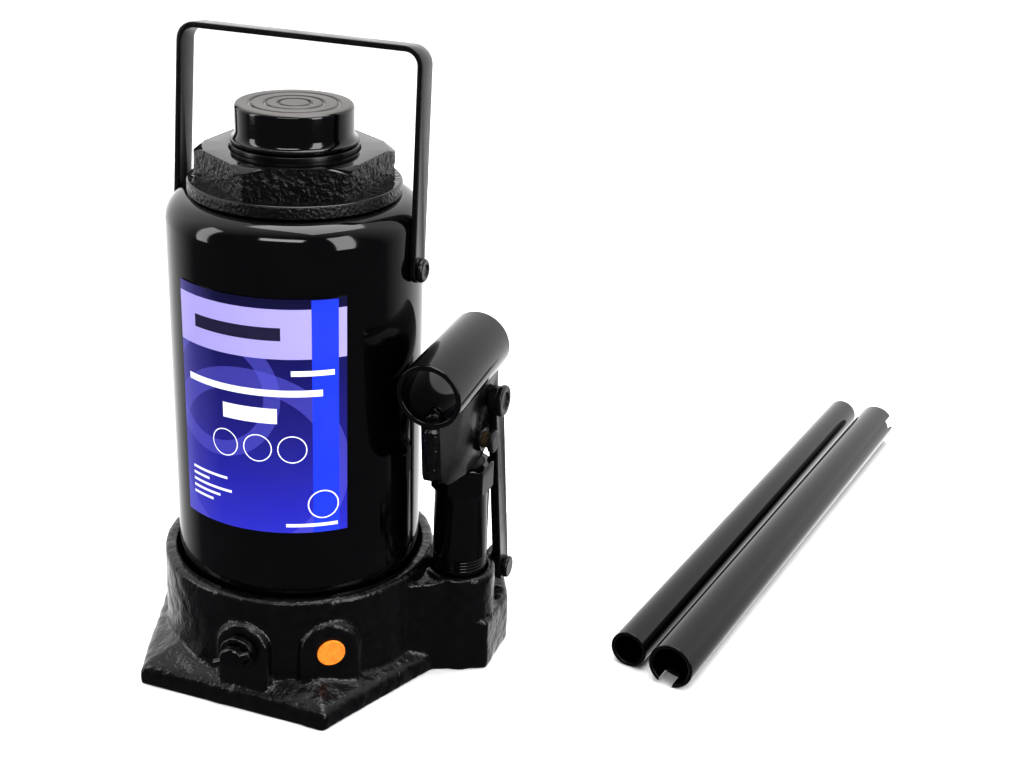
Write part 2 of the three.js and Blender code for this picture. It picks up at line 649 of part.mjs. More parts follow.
function buildTank() {
  addPiece(jack, 'tank_shell', tankShell(), FINISH.gloss);
  addPiece(jack, 'top_nut', topNut(), FINISH.nut);
  const gasketInner = TANK_RADIUS - GASKET_WALL + GAP;
  const gasketLow = TANK_SEAT + GAP;
  const gasket = ring(gasketInner, COLLAR_INNER - GAP, gasketLow, gasketLow + GASKET_HEIGHT);
  addPiece(jack, 'tank_gasket', gasket, FINISH.rubber);
  const wiperTop = NUT_TOP + WIPER_PROUD;
  const wiper = ring(RAM_RADIUS + GAP, WIPER_RADIUS, wiperTop - WIPER_HEIGHT, wiperTop);
  addPiece(jack, 'wiper_ring', wiper, FINISH.black);
  const stem = backBar(FILLER.radius, TANK_RADIUS - TANK_WALL - FILLER.inside, TANK_RADIUS + 2 * OVERCUT);
  const head = backBar(FILLER.head, TANK_RADIUS + OVERCUT, TANK_RADIUS + FILLER.outside);
  addPiece(jack, 'filler_plug', solid(stem).add(solid(head)), FINISH.rubber);
}

function buildCylinder() {
  const barrel = ring(CYLINDER_BORE, CYLINDER_RADIUS, CYLINDER_BOTTOM, CYLINDER_TOP);
  addPiece(jack, 'pressure_cylinder', barrel, FINISH.steel);
  const low = CYLINDER_SEAT + GAP;
  const gasket = ring(CYLINDER_RADIUS - GASKET_WALL, CYLINDER_RADIUS, low, low + GASKET_HEIGHT, HIDDEN);
  addPiece(jack, 'cylinder_gasket', gasket, FINISH.brass);
}

// ---------- ram ----------

// ram with its piston: the piston has a groove for the guide ring, the top a bore for the saddle
function ramRod() {
  const landTop = RAM_BOTTOM + PISTON_LAND;
  const grooveTop = RAM_BOTTOM + PISTON_HEIGHT - PISTON_LAND;
  const groove = PISTON_RADIUS - GUIDE_DEPTH;
  const pistonTop = RAM_BOTTOM + PISTON_HEIGHT;
  const top = SADDLE_LOW - GAP;
  const bore = SPIGOT_RADIUS + GAP;
  const boreLow = top - SPIGOT_LENGTH - GAP;
  return turned([
    [0, RAM_BOTTOM], [PISTON_RADIUS, RAM_BOTTOM], [PISTON_RADIUS, landTop],
    [groove, landTop], [groove, grooveTop], [PISTON_RADIUS, grooveTop],
    [PISTON_RADIUS, pistonTop], [RAM_RADIUS, pistonTop], [RAM_RADIUS, top],
    [bore, top], [bore, boreLow], [0, boreLow],
  ]);
}

function saddleHead() {
  const lip = SADDLE_LOW + LIP.height;
  const neck = SADDLE_LOW + LIP.neck;
  const points = [
    [0, SADDLE_LOW - SPIGOT_LENGTH], [SPIGOT_RADIUS, SADDLE_LOW - SPIGOT_LENGTH],
    [SPIGOT_RADIUS, SADDLE_LOW], [SADDLE_LIP_RADIUS - LIP.chamfer, SADDLE_LOW],
    [SADDLE_LIP_RADIUS, SADDLE_LOW + LIP.chamfer], [SADDLE_LIP_RADIUS, lip],
  ];
  for (const angle of [45, 90]) {
    const a = rad(angle);
    const radius = SADDLE_LIP_RADIUS - SADDLE_FLARE * Math.sin(a);
    points.push([radius, neck - (neck - lip) * Math.cos(a)]);
  }
  points.push([SADDLE_RADIUS, CLOSED_HEIGHT - SADDLE_CHAMFER]);
  points.push([SADDLE_RADIUS - SADDLE_CHAMFER, CLOSED_HEIGHT]);
  const half = GROOVE_WIDTH / 2;
  for (const r of [...SADDLE_GROOVES].reverse()) {
    points.push([r + half, CLOSED_HEIGHT], [r, CLOSED_HEIGHT - half], [r - half, CLOSED_HEIGHT]);
  }
  points.push([0, CLOSED_HEIGHT]);
  return turned(points);
}

function buildRam() {
  addPiece(jack, 'ram_rod', ramRod(), FINISH.steel);
  addPiece(jack, 'ram_saddle', saddleHead(), FINISH.gloss);
  const sealRadius = CYLINDER_BORE - SEAL_GAP;
  const guideInner = PISTON_RADIUS - GUIDE_DEPTH + GAP;
  const guideLow = RAM_BOTTOM + PISTON_LAND + GAP;
  const guideTop = RAM_BOTTOM + PISTON_HEIGHT - PISTON_LAND - GAP;
  addPiece(jack, 'ram_guide_ring', ring(guideInner, sealRadius, guideLow, guideTop, HIDDEN), FINISH.brass);
  const top = RAM_BOTTOM - GAP;
  const low = top - RAM_SEAL.height;
  const webLow = top - RAM_SEAL.web;
  addPiece(jack, 'ram_cup_seal', turned([
    [RAM_SEAL.hole, webLow], [PISTON_RADIUS - RAM_SEAL.rim, webLow], [PISTON_RADIUS - RAM_SEAL.lip, low],
    [sealRadius, low], [sealRadius, top], [RAM_SEAL.hole, top], [RAM_SEAL.hole, webLow],
  ], HIDDEN), FINISH.rubber);
}

// ---------- valves in the collar ----------

function releaseScrew(pinZ) {
  const stemLow = VALVE_SEAT + 2 * VALVE_BALL_RADIUS + 2 * GAP;
  const headLow = RELEASE_FACE + RELEASE_GLAND.length + 2 * GAP;
  const headTop = headLow + RELEASE_HEAD.length;
  const stem = VALVE_BORE - GAP;
  const body = turned([
    [0, stemLow], [RELEASE_POINT.radius, stemLow], [stem, stemLow + RELEASE_POINT.length],
    [stem, headLow], [RELEASE_HEAD.radius, headLow],
    [RELEASE_HEAD.radius, headTop - RELEASE_HEAD.chamfer],
    [RELEASE_HEAD.radius - RELEASE_HEAD.chamfer, headTop], [0, headTop],
  ], SMALL);
  const hole = crossBar(RELEASE_PIN.radius + GAP / 2, -THROUGH, THROUGH);
  hole.rotateZ(rad(RELEASE_PIN.tilt)).translate(0, 0, pinZ);
  return solid(body).subtract(solid(hole));
}

function buildReleaseValve() {
  const valve = group(jack, RELEASE_X, 0, 0);
  const glandLow = RELEASE_FACE + GAP;
  const glandTop = glandLow + RELEASE_GLAND.length;
  const gland = solid(valveBar(RELEASE_GLAND.radius, glandLow, glandTop))
    .subtract(solid(valveBar(VALVE_BORE, glandLow - OVERCUT, glandTop + OVERCUT)));
  addPiece(valve, 'release_gland', gland, FINISH.cast);

  const screw = group(valve, 0, 0, VALVE_HEIGHT, { x: Math.PI / 2 });
  const pinZ = glandTop + GAP + RELEASE_HEAD.length / 2;
  addPiece(screw, 'release_screw', releaseScrew(pinZ), FINISH.cast);
  const half = RELEASE_PIN.length / 2;
  const pin = addPiece(screw, 'release_cross_pin', crossBar(RELEASE_PIN.radius, -half, half), FINISH.cast);
  pin.position.z = pinZ;
  pin.rotation.z = rad(RELEASE_PIN.tilt);
  addValveBall(screw, 'release_ball');
}

function addValveBall(valve, name) {
  const ball = new THREE.SphereGeometry(VALVE_BALL_RADIUS, 16, 10);
  addPiece(valve, name, ball, FINISH.steel).position.z = VALVE_SEAT + GAP + VALVE_BALL_RADIUS;
}

function buildSafetyValve() {
  const outside = group(jack, 0, 0, 0, { z: rad(SAFETY_ANGLE + 90) });
  const valve = group(outside, 0, 0, VALVE_HEIGHT, { x: Math.PI / 2 });
  addValveBall(valve, 'safety_ball');
  const plugLow = SAFETY_FACE - SAFETY_PLUG_LENGTH;
  const springLow = VALVE_SEAT + 2 * VALVE_BALL_RADIUS + 2 * GAP;
  addPiece(valve, 'safety_spring', springCoil(SAFETY_SPRING, springLow, plugLow - GAP), FINISH.steel);
  addPiece(valve, 'safety_plug', rod(VALVE_BORE - GAP, plugLow, SAFETY_FACE, SMALL), FINISH.steel);
  const capLow = SAFETY_FACE + GAP;
  addPiece(valve, 'safety_valve_cap', rod(CAP.radius, capLow, capLow + CAP.thickness, SMALL), FINISH.orange);
}

// ---------- pump ----------

function pumpCylinder() {
  const hex = slab(hexagon(PUMP_HEX_CORNER), PUMP_HEX_BOTTOM, PUMP_TOP).rotateZ(rad(PUMP_HEX_TURN));
  const sleeve = rod(PUMP_RADIUS, PUMP_BOTTOM, PUMP_HEX_BOTTOM + OVERCUT);
  const bore = rod(PUMP_BORE, PUMP_BOTTOM - OVERCUT, PUMP_TOP + OVERCUT, SMALL);
  const sealLow = PUMP_TOP - GLAND_SEAL.height - GAP;
  const sealSeat = rod(PUMP_GLAND_RADIUS + GAP, sealLow, PUMP_TOP + OVERCUT, SMALL);
  return solid(sleeve).add(solid(hex)).subtract(solid(bore)).subtract(solid(sealSeat));
}

// piston rod whose head has two flat sides and a round top, to go between the lever's cheeks
function pumpPiston() {
  const shaft = rod(PUMP_ROD_RADIUS, PUMP_ROD_BOTTOM, PUMP_TOP + OVERCUT, SMALL);
  const shape = new THREE.Shape();
  shape.moveTo(-PUMP_ROD_RADIUS, PUMP_TOP);
  shape.lineTo(PUMP_ROD_RADIUS, PUMP_TOP);
  shape.lineTo(PUMP_ROD_RADIUS, PIN_HEIGHT);
  shape.absellipse(0, PIN_HEIGHT, PUMP_ROD_RADIUS, PISTON_HEAD.top, 0, Math.PI, false, 0);
  const head = sidePlate(shape, -PISTON_HEAD.half, PISTON_HEAD.half);
  const hole = crossBar(PISTON_PIN_RADIUS + GAP, -THROUGH, THROUGH).translate(0, 0, PIN_HEIGHT);
  const round = rod(PUMP_ROD_RADIUS, PUMP_ROD_BOTTOM, PIN_HEIGHT + PISTON_HEAD.top + OVERCUT, SMALL);
  return solid(head).intersect(solid(round)).add(solid(shaft)).subtract(solid(hole));
}

function buildPump() {
  const pump = group(jack, PUMP_X, PUMP_Y, 0);
  addPiece(pump, 'pump_cylinder', pumpCylinder(), FINISH.gloss);
  const sealLow = PUMP_TOP - GLAND_SEAL.height;
  const seal = ring(PUMP_ROD_RADIUS + GAP, PUMP_GLAND_RADIUS, sealLow, PUMP_TOP, SMALL);
  addPiece(pump, 'pump_gland_seal', seal, FINISH.rubber);
  addPiece(pump, 'pump_piston', pumpPiston(), FINISH.steel);
  const top = PUMP_ROD_BOTTOM - GAP;
  const rim = PUMP_BORE - SEAL_GAP;
  const cup = turned([
    [0, top - PUMP_CUP.web], [PUMP_CUP.nose, top - PUMP_CUP.web], [PUMP_CUP.lip, top - PUMP_CUP.height],
    [rim, top - PUMP_CUP.height], [rim, top], [0, top],
  ], SMALL);
  addPiece(pump, 'pump_cup_seal', cup, FINISH.rubber);
  buildPistonPin(group(pump, 0, 0, PIN_HEIGHT));
}

function buildPistonPin(joint) {
  const pin = headedPin(PISTON_PIN_RADIUS, PISTON_PIN_HEAD, -CHEEK_OUTER - PIN_END, PISTON_PIN_PROUD);
  addPiece(joint, 'piston_pin', pin, FINISH.black);
  const hole = PISTON_PIN_RADIUS + GAP;
  const face = CHEEK_OUTER + GAP;
  const flat = washer(hole, WASHER_RADIUS, WASHER.thickness);
  addPiece(joint, 'piston_pin_washer', flat, FINISH.black).position.x = face;
  const clip = washer(hole, WASHER_RADIUS, CLIP_THICKNESS);
  addPiece(joint, 'piston_pin_clip', clip, FINISH.black).position.x = -face - CLIP_THICKNESS;
}

// ---------- lever and links ----------

// the bracket's cheeks seen from the side
function cheekOutline() {
  const shape = new THREE.Shape();
  const backEdge = FULCRUM.y + CHEEK_PAST_FULCRUM;
  const nose = CHEEK_NOSE.map(([y, z]) => [y - SOCKET_FRONT, z]);
  shape.moveTo(nose[0][0], SOCKET_AXIS);
  shape.lineTo(...nose[1]);
  shape.quadraticCurveTo(...nose[2], ...nose[3]);
  shape.lineTo(-CHEEK_BELLY, -CHEEK_REACH);
  shape.absarc(0, 0, CHEEK_REACH, rad(-90), rad(-20), false);
  shape.lineTo(backEdge, CHEEK_CORNER);
  shape.lineTo(backEdge, SOCKET_AXIS);
  return shape;
}

// the bracket from above: two sheet cheeks that come together at the front in a weld
function bracketPlan() {
  const back = FULCRUM.y + CHEEK_PAST_FULCRUM + OVERCUT;
  const pinchEnd = PINCH_LENGTH - SOCKET_FRONT;
  const half = [
    [PINCH_HALF, -SOCKET_FRONT], [CHEEK_OUTER, pinchEnd], [CHEEK_OUTER, back],
    [CHEEK_INNER, back], [CHEEK_INNER, pinchEnd],
    [PINCH_HALF - CHEEK_WALL, FRONT_WELD - SOCKET_FRONT],
  ];
  return outline([...half, ...half.map(([x, y]) => [-x, y]).reverse()]);
}

function leverBracket() {
  const plan = slab(bracketPlan(), -CHEEK_REACH - OVERCUT, SOCKET_AXIS);
  const sides = sidePlate(cheekOutline(), -THROUGH, THROUGH, 6);
  const socket = rod(SOCKET_RADIUS + GAP, -3 * THROUGH, 3 * THROUGH).rotateX(Math.PI / 2);
  socket.translate(0, 0, SOCKET_AXIS);
  const pinHole = crossBar(PISTON_PIN_RADIUS + GAP, -THROUGH, THROUGH);
  const fulcrumHole = crossBar(FULCRUM_PIN_RADIUS + FULCRUM_PLAY, -THROUGH, THROUGH);
  fulcrumHole.translate(0, FULCRUM.y, FULCRUM.z);
  let body = solid(plan).intersect(solid(sides));
  for (const cut of [socket, pinHole, fulcrumHole]) body = body.subtract(solid(cut));
  return body;
}

function socketTube() {
  const bore = SOCKET_RADIUS - SOCKET_WALL;
  const tube = ring(bore, SOCKET_RADIUS, 0, SOCKET_FRONT + SOCKET_BACK, SOCKET_FACETS);
  tube.rotateX(-Math.PI / 2);
  tube.translate(0, -SOCKET_FRONT, SOCKET_AXIS);
  return tube;
}

function buildLever() {
  const lever = group(jack, PUMP_X, PUMP_Y, PIN_HEIGHT, { x: rad(LEVER_TILT) });
  addPiece(lever, 'handle_socket', socketTube(), FINISH.gloss);
  addPiece(lever, 'lever_bracket', leverBracket(), FINISH.black);
}

// where the fulcrum sits at rest, from the piston pin, in the jack's own directions
function fulcrumAtRest() {
  const a = rad(LEVER_TILT);
  return {
    y: FULCRUM.y * Math.cos(a) - FULCRUM.z * Math.sin(a),
    z: FULCRUM.y * Math.sin(a) + FULCRUM.z * Math.cos(a),
  };
}

// bar with a round eye at each end: the foot at the origin, the top eye at its length
function linkBar(length) {
  const shape = new THREE.Shape();
  shape.moveTo(-LINK_HALF_WIDTH, 0);
  shape.absarc(0, 0, LINK_EYE_RADIUS, rad(-145), rad(-35), false);
  shape.lineTo(LINK_HALF_WIDTH, 0);
  shape.absarc(0, length, LINK_EYE_RADIUS, rad(-35), rad(215), false);
  const bar = solid(sidePlate(shape, 0, LINK_THICKNESS, 8));
  const foot = crossBar(FOOT_PIN_RADIUS + GAP, -THROUGH, THROUGH);
  const eye = crossBar(FULCRUM_PIN_RADIUS + GAP, -THROUGH, THROUGH).translate(0, 0, length);
  return bar.subtract(solid(foot)).subtract(solid(eye));
}

// headed pin through both links, and the clip on its far end
function addLinkPin(joint, pinName, clipName, radius, headRadius) {
  const headTop = LINK_OUTER + GAP + HEAD_THICKNESS;
  const pin = headedPin(radius, headRadius, -LINK_OUTER - PIN_END, headTop);
  addPiece(joint, pinName, pin, FINISH.black);
  const clip = washer(radius + GAP, headRadius, CLIP_THICKNESS);
  addPiece(joint, clipName, clip, FINISH.black).position.x = -LINK_OUTER - GAP - CLIP_THICKNESS;
}

function buildLinks() {
  const top = fulcrumAtRest();
  const rise = PIN_HEIGHT + top.z - FOOT.z;
  const lean = FOOT.y - top.y;
  const length = Math.hypot(rise, lean);
  const links = group(jack, PUMP_X, PUMP_Y + FOOT.y, FOOT.z, { x: Math.atan2(lean, rise) });
  addPiece(links, 'link_right', linkBar(length), FINISH.black).position.x = LINK_INNER;
  addPiece(links, 'link_left', linkBar(length), FINISH.black).position.x = -LINK_OUTER;

  const fulcrum = group(links, 0, 0, length);
  addLinkPin(fulcrum, 'fulcrum_pin', 'fulcrum_pin_clip', FULCRUM_PIN_RADIUS, FULCRUM_HEAD_RADIUS);

  const foot = group(jack, PUMP_X, PUMP_Y + FOOT.y, FOOT.z);
  addLinkPin(foot, 'link_foot_pin', 'link_foot_clip', FOOT_PIN_RADIUS, FOOT_HEAD_RADIUS);
}

// ---------- carry handle ----------

function carryHandle() {
  const half = BAIL_STRAP / 2;
  const wide = half + OVERCUT;
  const outer = slab(strapOutline(0), -half, half, 8).rotateX(Math.PI / 2);
  const inner = slab(strapOutline(BAIL_THICKNESS), -wide, wide, 8).rotateX(Math.PI / 2);
  const loop = solid(outer).subtract(solid(inner));
  // the strap's ends are round, centred on the rivets
  const side = new THREE.Shape();
  side.moveTo(-half, BAIL_TOP + OVERCUT);
  side.lineTo(-half, BAIL_PIVOT);
  side.absarc(0, BAIL_PIVOT, half, Math.PI, 2 * Math.PI, false);
  side.lineTo(half, BAIL_TOP + OVERCUT);
  const reach = BAIL_HALF_WIDTH + OVERCUT;
  const trimmed = loop.intersect(solid(sidePlate(side, -reach, reach, 10)));
  const hole = crossBar(RIVET.radius + GAP, -reach, reach).translate(0, 0, BAIL_PIVOT);
  return trimmed.subtract(solid(hole));
}

// the strap seen from the front, drawn a given distance inside its outer face
function strapOutline(inset) {
  const low = BAIL_HALF_WIDTH - inset;
  const high = BAIL_HALF_WIDTH - BAIL_NARROWING - inset;
  const top = BAIL_TOP - inset;
  const corner = BAIL_CORNER - inset;
  const foot = BAIL_PIVOT - BAIL_STRAP - 2 * inset;
  const shape = new THREE.Shape();
  shape.moveTo(-low, foot);
  shape.lineTo(low, foot);
  shape.lineTo(high, top - corner);
  shape.absarc(high - corner, top - corner, corner, 0, Math.PI / 2, false);
  shape.lineTo(-high + corner, top);
  shape.absarc(-high + corner, top - corner, corner, Math.PI / 2, Math.PI, false);
  return shape;
}

function buildBail() {
  const handle = addPiece(jack, 'carry_handle', carryHandle(), FINISH.black);
  // it leans back about the rivets
  handle.rotation.x = -BAIL_LEAN;
  handle.position.y = -BAIL_PIVOT * Math.sin(BAIL_LEAN);
  handle.position.z = BAIL_PIVOT * (1 - Math.cos(BAIL_LEAN));
  const headTop = BAIL_HALF_WIDTH + GAP + RIVET.height;
  const rivet = headedPin(RIVET.radius, RIVET.head, TANK_RADIUS + SEAL_GAP, headTop, RIVET.height);
  addPiece(jack, 'bail_rivet_right', rivet, FINISH.black).position.z = BAIL_PIVOT;
  const left = addPiece(jack, 'bail_rivet_left', rivet, FINISH.black);
  left.position.z = BAIL_PIVOT;
  left.rotation.z = Math.PI;
}

// ---------- label ----------

function buildLabel() {
  const inner = TANK_RADIUS + GAP;
  const outer = inner + LABEL_THICKNESS;
  const start = rad(LABEL_CENTRE - LABEL_SPAN / 2);
  const end = rad(LABEL_CENTRE + LABEL_SPAN / 2);
  const shape = new THREE.Shape();
  shape.absarc(0, 0, outer, start, end, false);
  shape.absarc(0, 0, inner, end, start, true);
  addPiece(jack, 'label_panel', slab(shape, LABEL_BOTTOM, LABEL_TOP, 18), FINISH.label);
}

// ---------- loose handle tubes ----------

function plainTube({ radius }) {
  return solid(ring(radius - TUBE_WALL, radius, 0, TUBE_LENGTH, TUBE_FACETS));
}

// box that cuts a notch through one wall of the wide tube, between two distances along it
function notchCut(turn, from, to) {
  const half = NOTCH_WIDTH / 2;
  return solid(box(0, WIDE_TUBE.radius + OVERCUT, -half, half, from, to).rotateZ(rad(-turn)));
}

function notchedTube() {
  const near = notchCut(NEAR_NOTCH_TURN, -OVERCUT, NOTCH_DEPTH);
  const far = notchCut(FAR_NOTCH_TURN, TUBE_LENGTH - NOTCH_DEPTH, TUBE_LENGTH + OVERCUT);
  return plainTube(WIDE_TUBE).subtract(near).subtract(far);
}

function addLyingTube(name, tube, { radius, x, y }) {
  const lying = group(jack, PUMP_X + x, PUMP_Y + y, radius, { z: rad(TUBE_TURN) });
  addPiece(lying, name, tube, FINISH.gloss).rotation.x = -Math.PI / 2;
}

function buildHandleTubes() {
  addLyingTube('handle_tube_thin', plainTube(THIN_TUBE), THIN_TUBE);
  addLyingTube('handle_tube_wide', notchedTube(), WIDE_TUBE);
}

// ---------- build ----------

buildBase();
buildCheckValves();
buildTank();
buildCylinder();
buildRam();
buildReleaseValve();
buildSafetyValve();
buildPump();
buildLever();
buildLinks();
buildBail();
buildLabel();
buildHandleTubes();

export default jack;
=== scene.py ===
# Looks of a hydraulic bottle jack and its two loose handle tubes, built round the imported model.
# Shapes are worked out in millimetres and become metres when a piece is made.

import json
import math

import bmesh
import bpy
from mathutils import Euler, Matrix, Vector, noise


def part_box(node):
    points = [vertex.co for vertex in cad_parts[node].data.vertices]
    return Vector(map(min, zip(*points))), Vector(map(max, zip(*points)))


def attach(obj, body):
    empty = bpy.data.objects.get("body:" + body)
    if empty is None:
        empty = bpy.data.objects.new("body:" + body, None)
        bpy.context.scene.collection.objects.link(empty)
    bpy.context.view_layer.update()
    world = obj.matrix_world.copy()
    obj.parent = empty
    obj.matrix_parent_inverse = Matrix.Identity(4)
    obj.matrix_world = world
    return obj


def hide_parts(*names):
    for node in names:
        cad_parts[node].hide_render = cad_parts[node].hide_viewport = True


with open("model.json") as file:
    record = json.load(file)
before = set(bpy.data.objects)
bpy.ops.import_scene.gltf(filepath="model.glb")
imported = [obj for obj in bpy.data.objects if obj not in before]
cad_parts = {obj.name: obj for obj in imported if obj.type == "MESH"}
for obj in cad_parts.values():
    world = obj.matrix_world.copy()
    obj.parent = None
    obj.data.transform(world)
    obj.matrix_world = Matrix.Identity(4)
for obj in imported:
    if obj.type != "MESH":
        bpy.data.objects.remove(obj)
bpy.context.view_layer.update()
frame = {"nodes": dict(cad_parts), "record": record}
record = frame["record"]

MM = 0.001
TAU = 2 * math.pi
WELD = 1e-4  # points closer than this are one
SEGMENTS = 160  # round a large turned piece
FINE = 64  # round a pin, washer or rim

BODY_OF = {n: body for body, nodes in record["behaviour"]["bodies"].items() for n in nodes}
SLOT_OF = {part["node"]: part["material_slot"] for part in record["subparts"]}


def node_box(node):
    """Lowest and highest corner of a node in millimetres."""
    low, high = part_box(node)
    return low / MM, high / MM


def middle(node):
    low, high = node_box(node)
    return (low + high) / 2


# ---------- sizes and places that come from the frame ----------

tank_low, tank_high = node_box("tank_shell")
TANK_RADIUS = tank_high.x
TANK_BOTTOM = tank_low.z
TANK_TOP = tank_high.z
nut_high = node_box("top_nut")[1]
NUT_FLANGE_RADIUS = nut_high.x
NUT_TOP = nut_high.z
saddle_low, saddle_high = node_box("ram_saddle")
SADDLE_TOP = saddle_high.z
SADDLE_LIP = saddle_high.x
ram_low, ram_high = node_box("ram_rod")
wiper_low, wiper_high = node_box("wiper_ring")
base_low, base_high = node_box("base_casting")
pump_low, pump_high = node_box("pump_cylinder")
PUMP = middle("pump_cylinder")
PUMP_TOP = pump_high.z
PISTON_PIN = middle("piston_pin")
FULCRUM = middle("fulcrum_pin")
FOOT = middle("link_foot_pin")
RELEASE = middle("release_gland")
CAP = middle("safety_valve_cap")
SAFETY_TURN = math.degrees(math.atan2(CAP.y, CAP.x))
BAIL_HALF = node_box("carry_handle")[1].x
BAIL_PIVOT = middle("bail_rivet_right").z
label_low, label_high = node_box("label_panel")

# ---------- sizes of the details ----------

TANK_WALL = 3
SHOULDER = 11
NUT_SPIGOT = 34.5
NUT_FLANGE_PAST = 2.8
NUT_FLANGE_HEIGHT = 5.7
NUT_CORNER = NUT_FLANGE_RADIUS - NUT_FLANGE_PAST
NUT_CHAMFER = 4
NUT_HEXAGON = 13  # the hexagon's height
NUT_SPIGOT_DEPTH = 12
NUT_TURN = -62.5
CYLINDER_RADIUS = 32
RAM_RADIUS = 23
RAM_HEAD = 24.7  # the piston at the ram's foot
RAM_HEAD_TOP = 60
SEAL_GROOVE = 23.1
SEAL_GROOVE_ENDS = (49, 55)
SPIGOT_BORE = 10.3
SPIGOT_DEPTH = 12.3
SADDLE_SPIGOT = 10
SADDLE_SPIGOT_LENGTH = 12
SADDLE_RADIUS = 24.9
SADDLE_GROOVES = (6.8, 12.2, 18.6)

COLLAR_RADIUS = 61.8
COLLAR_INNER = 56
COLLAR_TOP = 52
RESERVOIR_FLOOR = 44
FLANGE_FRONT_HALF = 45.5
FLANGE_SIDE_Y = 6
FLANGE_EDGE = 8.5
FLANGE_RISE = 7
FLANGE_SLOPE = 16
VALVE_HEIGHT = RELEASE.z
VALVE_ROOT = 40
RELEASE_FACE = 65
RELEASE_BOSS = 12.5
SAFETY_FACE = 64.5
SAFETY_BOSS = 13.5
CROSS_PIN_TILT = 26
CROSS_PIN_HALF = 9.75
CROSS_PIN_RADIUS = 1.9
SCREW_SHANK = 4.7
SCREW_HEAD = 5.7

PUMP_RADIUS = 12.3
PUMP_BOTTOM = pump_low.z
PUMP_BOSS = 16.6
PUMP_BOSS_TOP = 47.5
PUMP_HEX_CORNER = 14.4
PUMP_HEX_TURN = 27
PUMP_HEX_HEIGHT = 13
PUMP_BORE = 7
PISTON_RADIUS = 6.4
PISTON_FLAT = 5.1  # half the thickness of its flat-sided head
PUMP_SEAT_PLAY = 0.5
BLOCK_TOP = 25
WEB_TOP = 46
LUG_INNER = 3.7
LUG_OUTER = 7.7
LUG_RADIUS = 9

LEVER_TILT = 4
SOCKET_RADIUS = 14.4
SOCKET_BORE = 12
SOCKET_AXIS = 38
SOCKET_FRONT = 39.9
SOCKET_BACK = 18.7
CHEEK_OUTER = 7.9
CHEEK_INNER = 5.4
CHEEK_REACH = 10
PINCH_HALF = 3.8
PINCH_END = -17.9

PIN_HEAD = 2.4
PIN_HEAD_RADIUS = 5.1
PIN_RADIUS = 3.4
PIN_HOLE = 3.7
FULCRUM_RADIUS = 4
FULCRUM_HOLE = 4.3
FULCRUM_HEAD_RADIUS = 7.2
FULCRUM_DISH = 0.9
LINK_EYE = 6.4
LINK_HALF = 5.2
LINK_INNER = 8.2
LINK_OUTER = 12.2

BAIL_STRAP = 11
BAIL_TOP = SADDLE_TOP + 27.7
BAIL_LEAN = 5
BAIL_THICKNESS = 2.4
BAIL_NARROWING = 1.4
BAIL_CORNER = 8

TUBE_TURN = 9
TUBE_WALL = 1.9
NOTCH_WIDTH = 7
NOTCH_DEPTH = 10

# ---------- mesh helpers ----------


def arc(x, y, radius, start, end, steps):
    """Points on an arc between two angles in degrees."""
    points = []
    for i in range(steps + 1):
        angle = math.radians(start + (end - start) * i / steps)
        points.append((x + radius * math.cos(angle), y + radius * math.sin(angle)))
    return points


def eased(points, radius, closed=False, steps=5):
    """The same outline with each corner rounded, by no more than its edges have room for."""
    spots = [Vector(point) for point in points]
    count = len(spots)
    result = []
    for i, spot in enumerate(spots):
        if not closed and i in (0, count - 1):
            result.append(spot)
            continue
        back = spots[i - 1] - spot
        ahead = spots[(i + 1) % count] - spot
        reach = min(radius, 0.45 * back.length, 0.45 * ahead.length)
        start = spot + back.normalized() * reach
        end = spot + ahead.normalized() * reach
        for j in range(steps + 1):
            t = j / steps
            result.append((1 - t) ** 2 * start + 2 * t * (1 - t) * spot + t ** 2 * end)
    return [tuple(point) for point in result]


def drawn_in(outline, distance):
    """A convex anticlockwise outline moved inwards."""
    spots = [Vector(point) for point in outline]
    result = []
    for i, here in enumerate(spots):
        arriving = (here - spots[i - 1]).normalized()
        leaving = (spots[(i + 1) % len(spots)] - here).normalized()
        inward = Vector((-arriving.y, arriving.x))
        bisector = (inward + Vector((-leaving.y, leaving.x))).normalized()
        result.append(tuple(here + bisector * (distance / bisector.dot(inward))))
    return result


def shade(piece, angle=35):
    piece.data.shade_smooth()
    piece.data.set_sharp_from_angle(angle=math.radians(angle))


def make_piece(name, bm):
    """A mesh drawn in millimetres as an object in metres."""
    bmesh.ops.recalc_face_normals(bm, faces=bm.faces)
    bmesh.ops.scale(bm, vec=(MM, MM, MM), verts=bm.verts)
    mesh = bpy.data.meshes.new(name)
    bm.to_mesh(mesh)
    bm.free()
    piece = bpy.data.objects.new(name, mesh)
    bpy.context.scene.collection.objects.link(piece)
    shade(piece)
    return piece


def swept(name, profile_at, segments=SEGMENTS, closed=False):
    """A piece round the Z axis, whose [radius, height] profile may change with the angle."""
    bm = bmesh.new()
    columns = []
    for i in range(segments):
        angle = TAU * i / segments
        c, s = math.cos(angle), math.sin(angle)
        columns.append([bm.verts.new((r * c, r * s, z)) for r, z in profile_at(angle)])
    count = len(columns[0])
    for i, column in enumerate(columns):
        following = columns[(i + 1) % segments]
        for j in range(count if closed else count - 1):
            k = (j + 1) % count
            bm.faces.new((column[j], following[j], following[k], column[k]))
    bmesh.ops.remove_doubles(bm, verts=bm.verts, dist=WELD)
    return make_piece(name, bm)


def turned(name, profile, segments=SEGMENTS, closed=False):
    return swept(name, lambda angle: profile, segments, closed)


def lofted(name, rings):
    """A closed piece through outlines at rising heights, each with as many points."""
    bm = bmesh.new()
    layers = [[bm.verts.new((x, y, z)) for x, y in outline] for outline, z in rings]
    bm.faces.new(layers[0])
    bm.faces.new(layers[-1])
    for low, high in zip(layers, layers[1:]):
        for i in range(len(low)):
            j = (i + 1) % len(low)
            bm.faces.new((low[i], low[j], high[j], high[i]))
    return make_piece(name, bm)


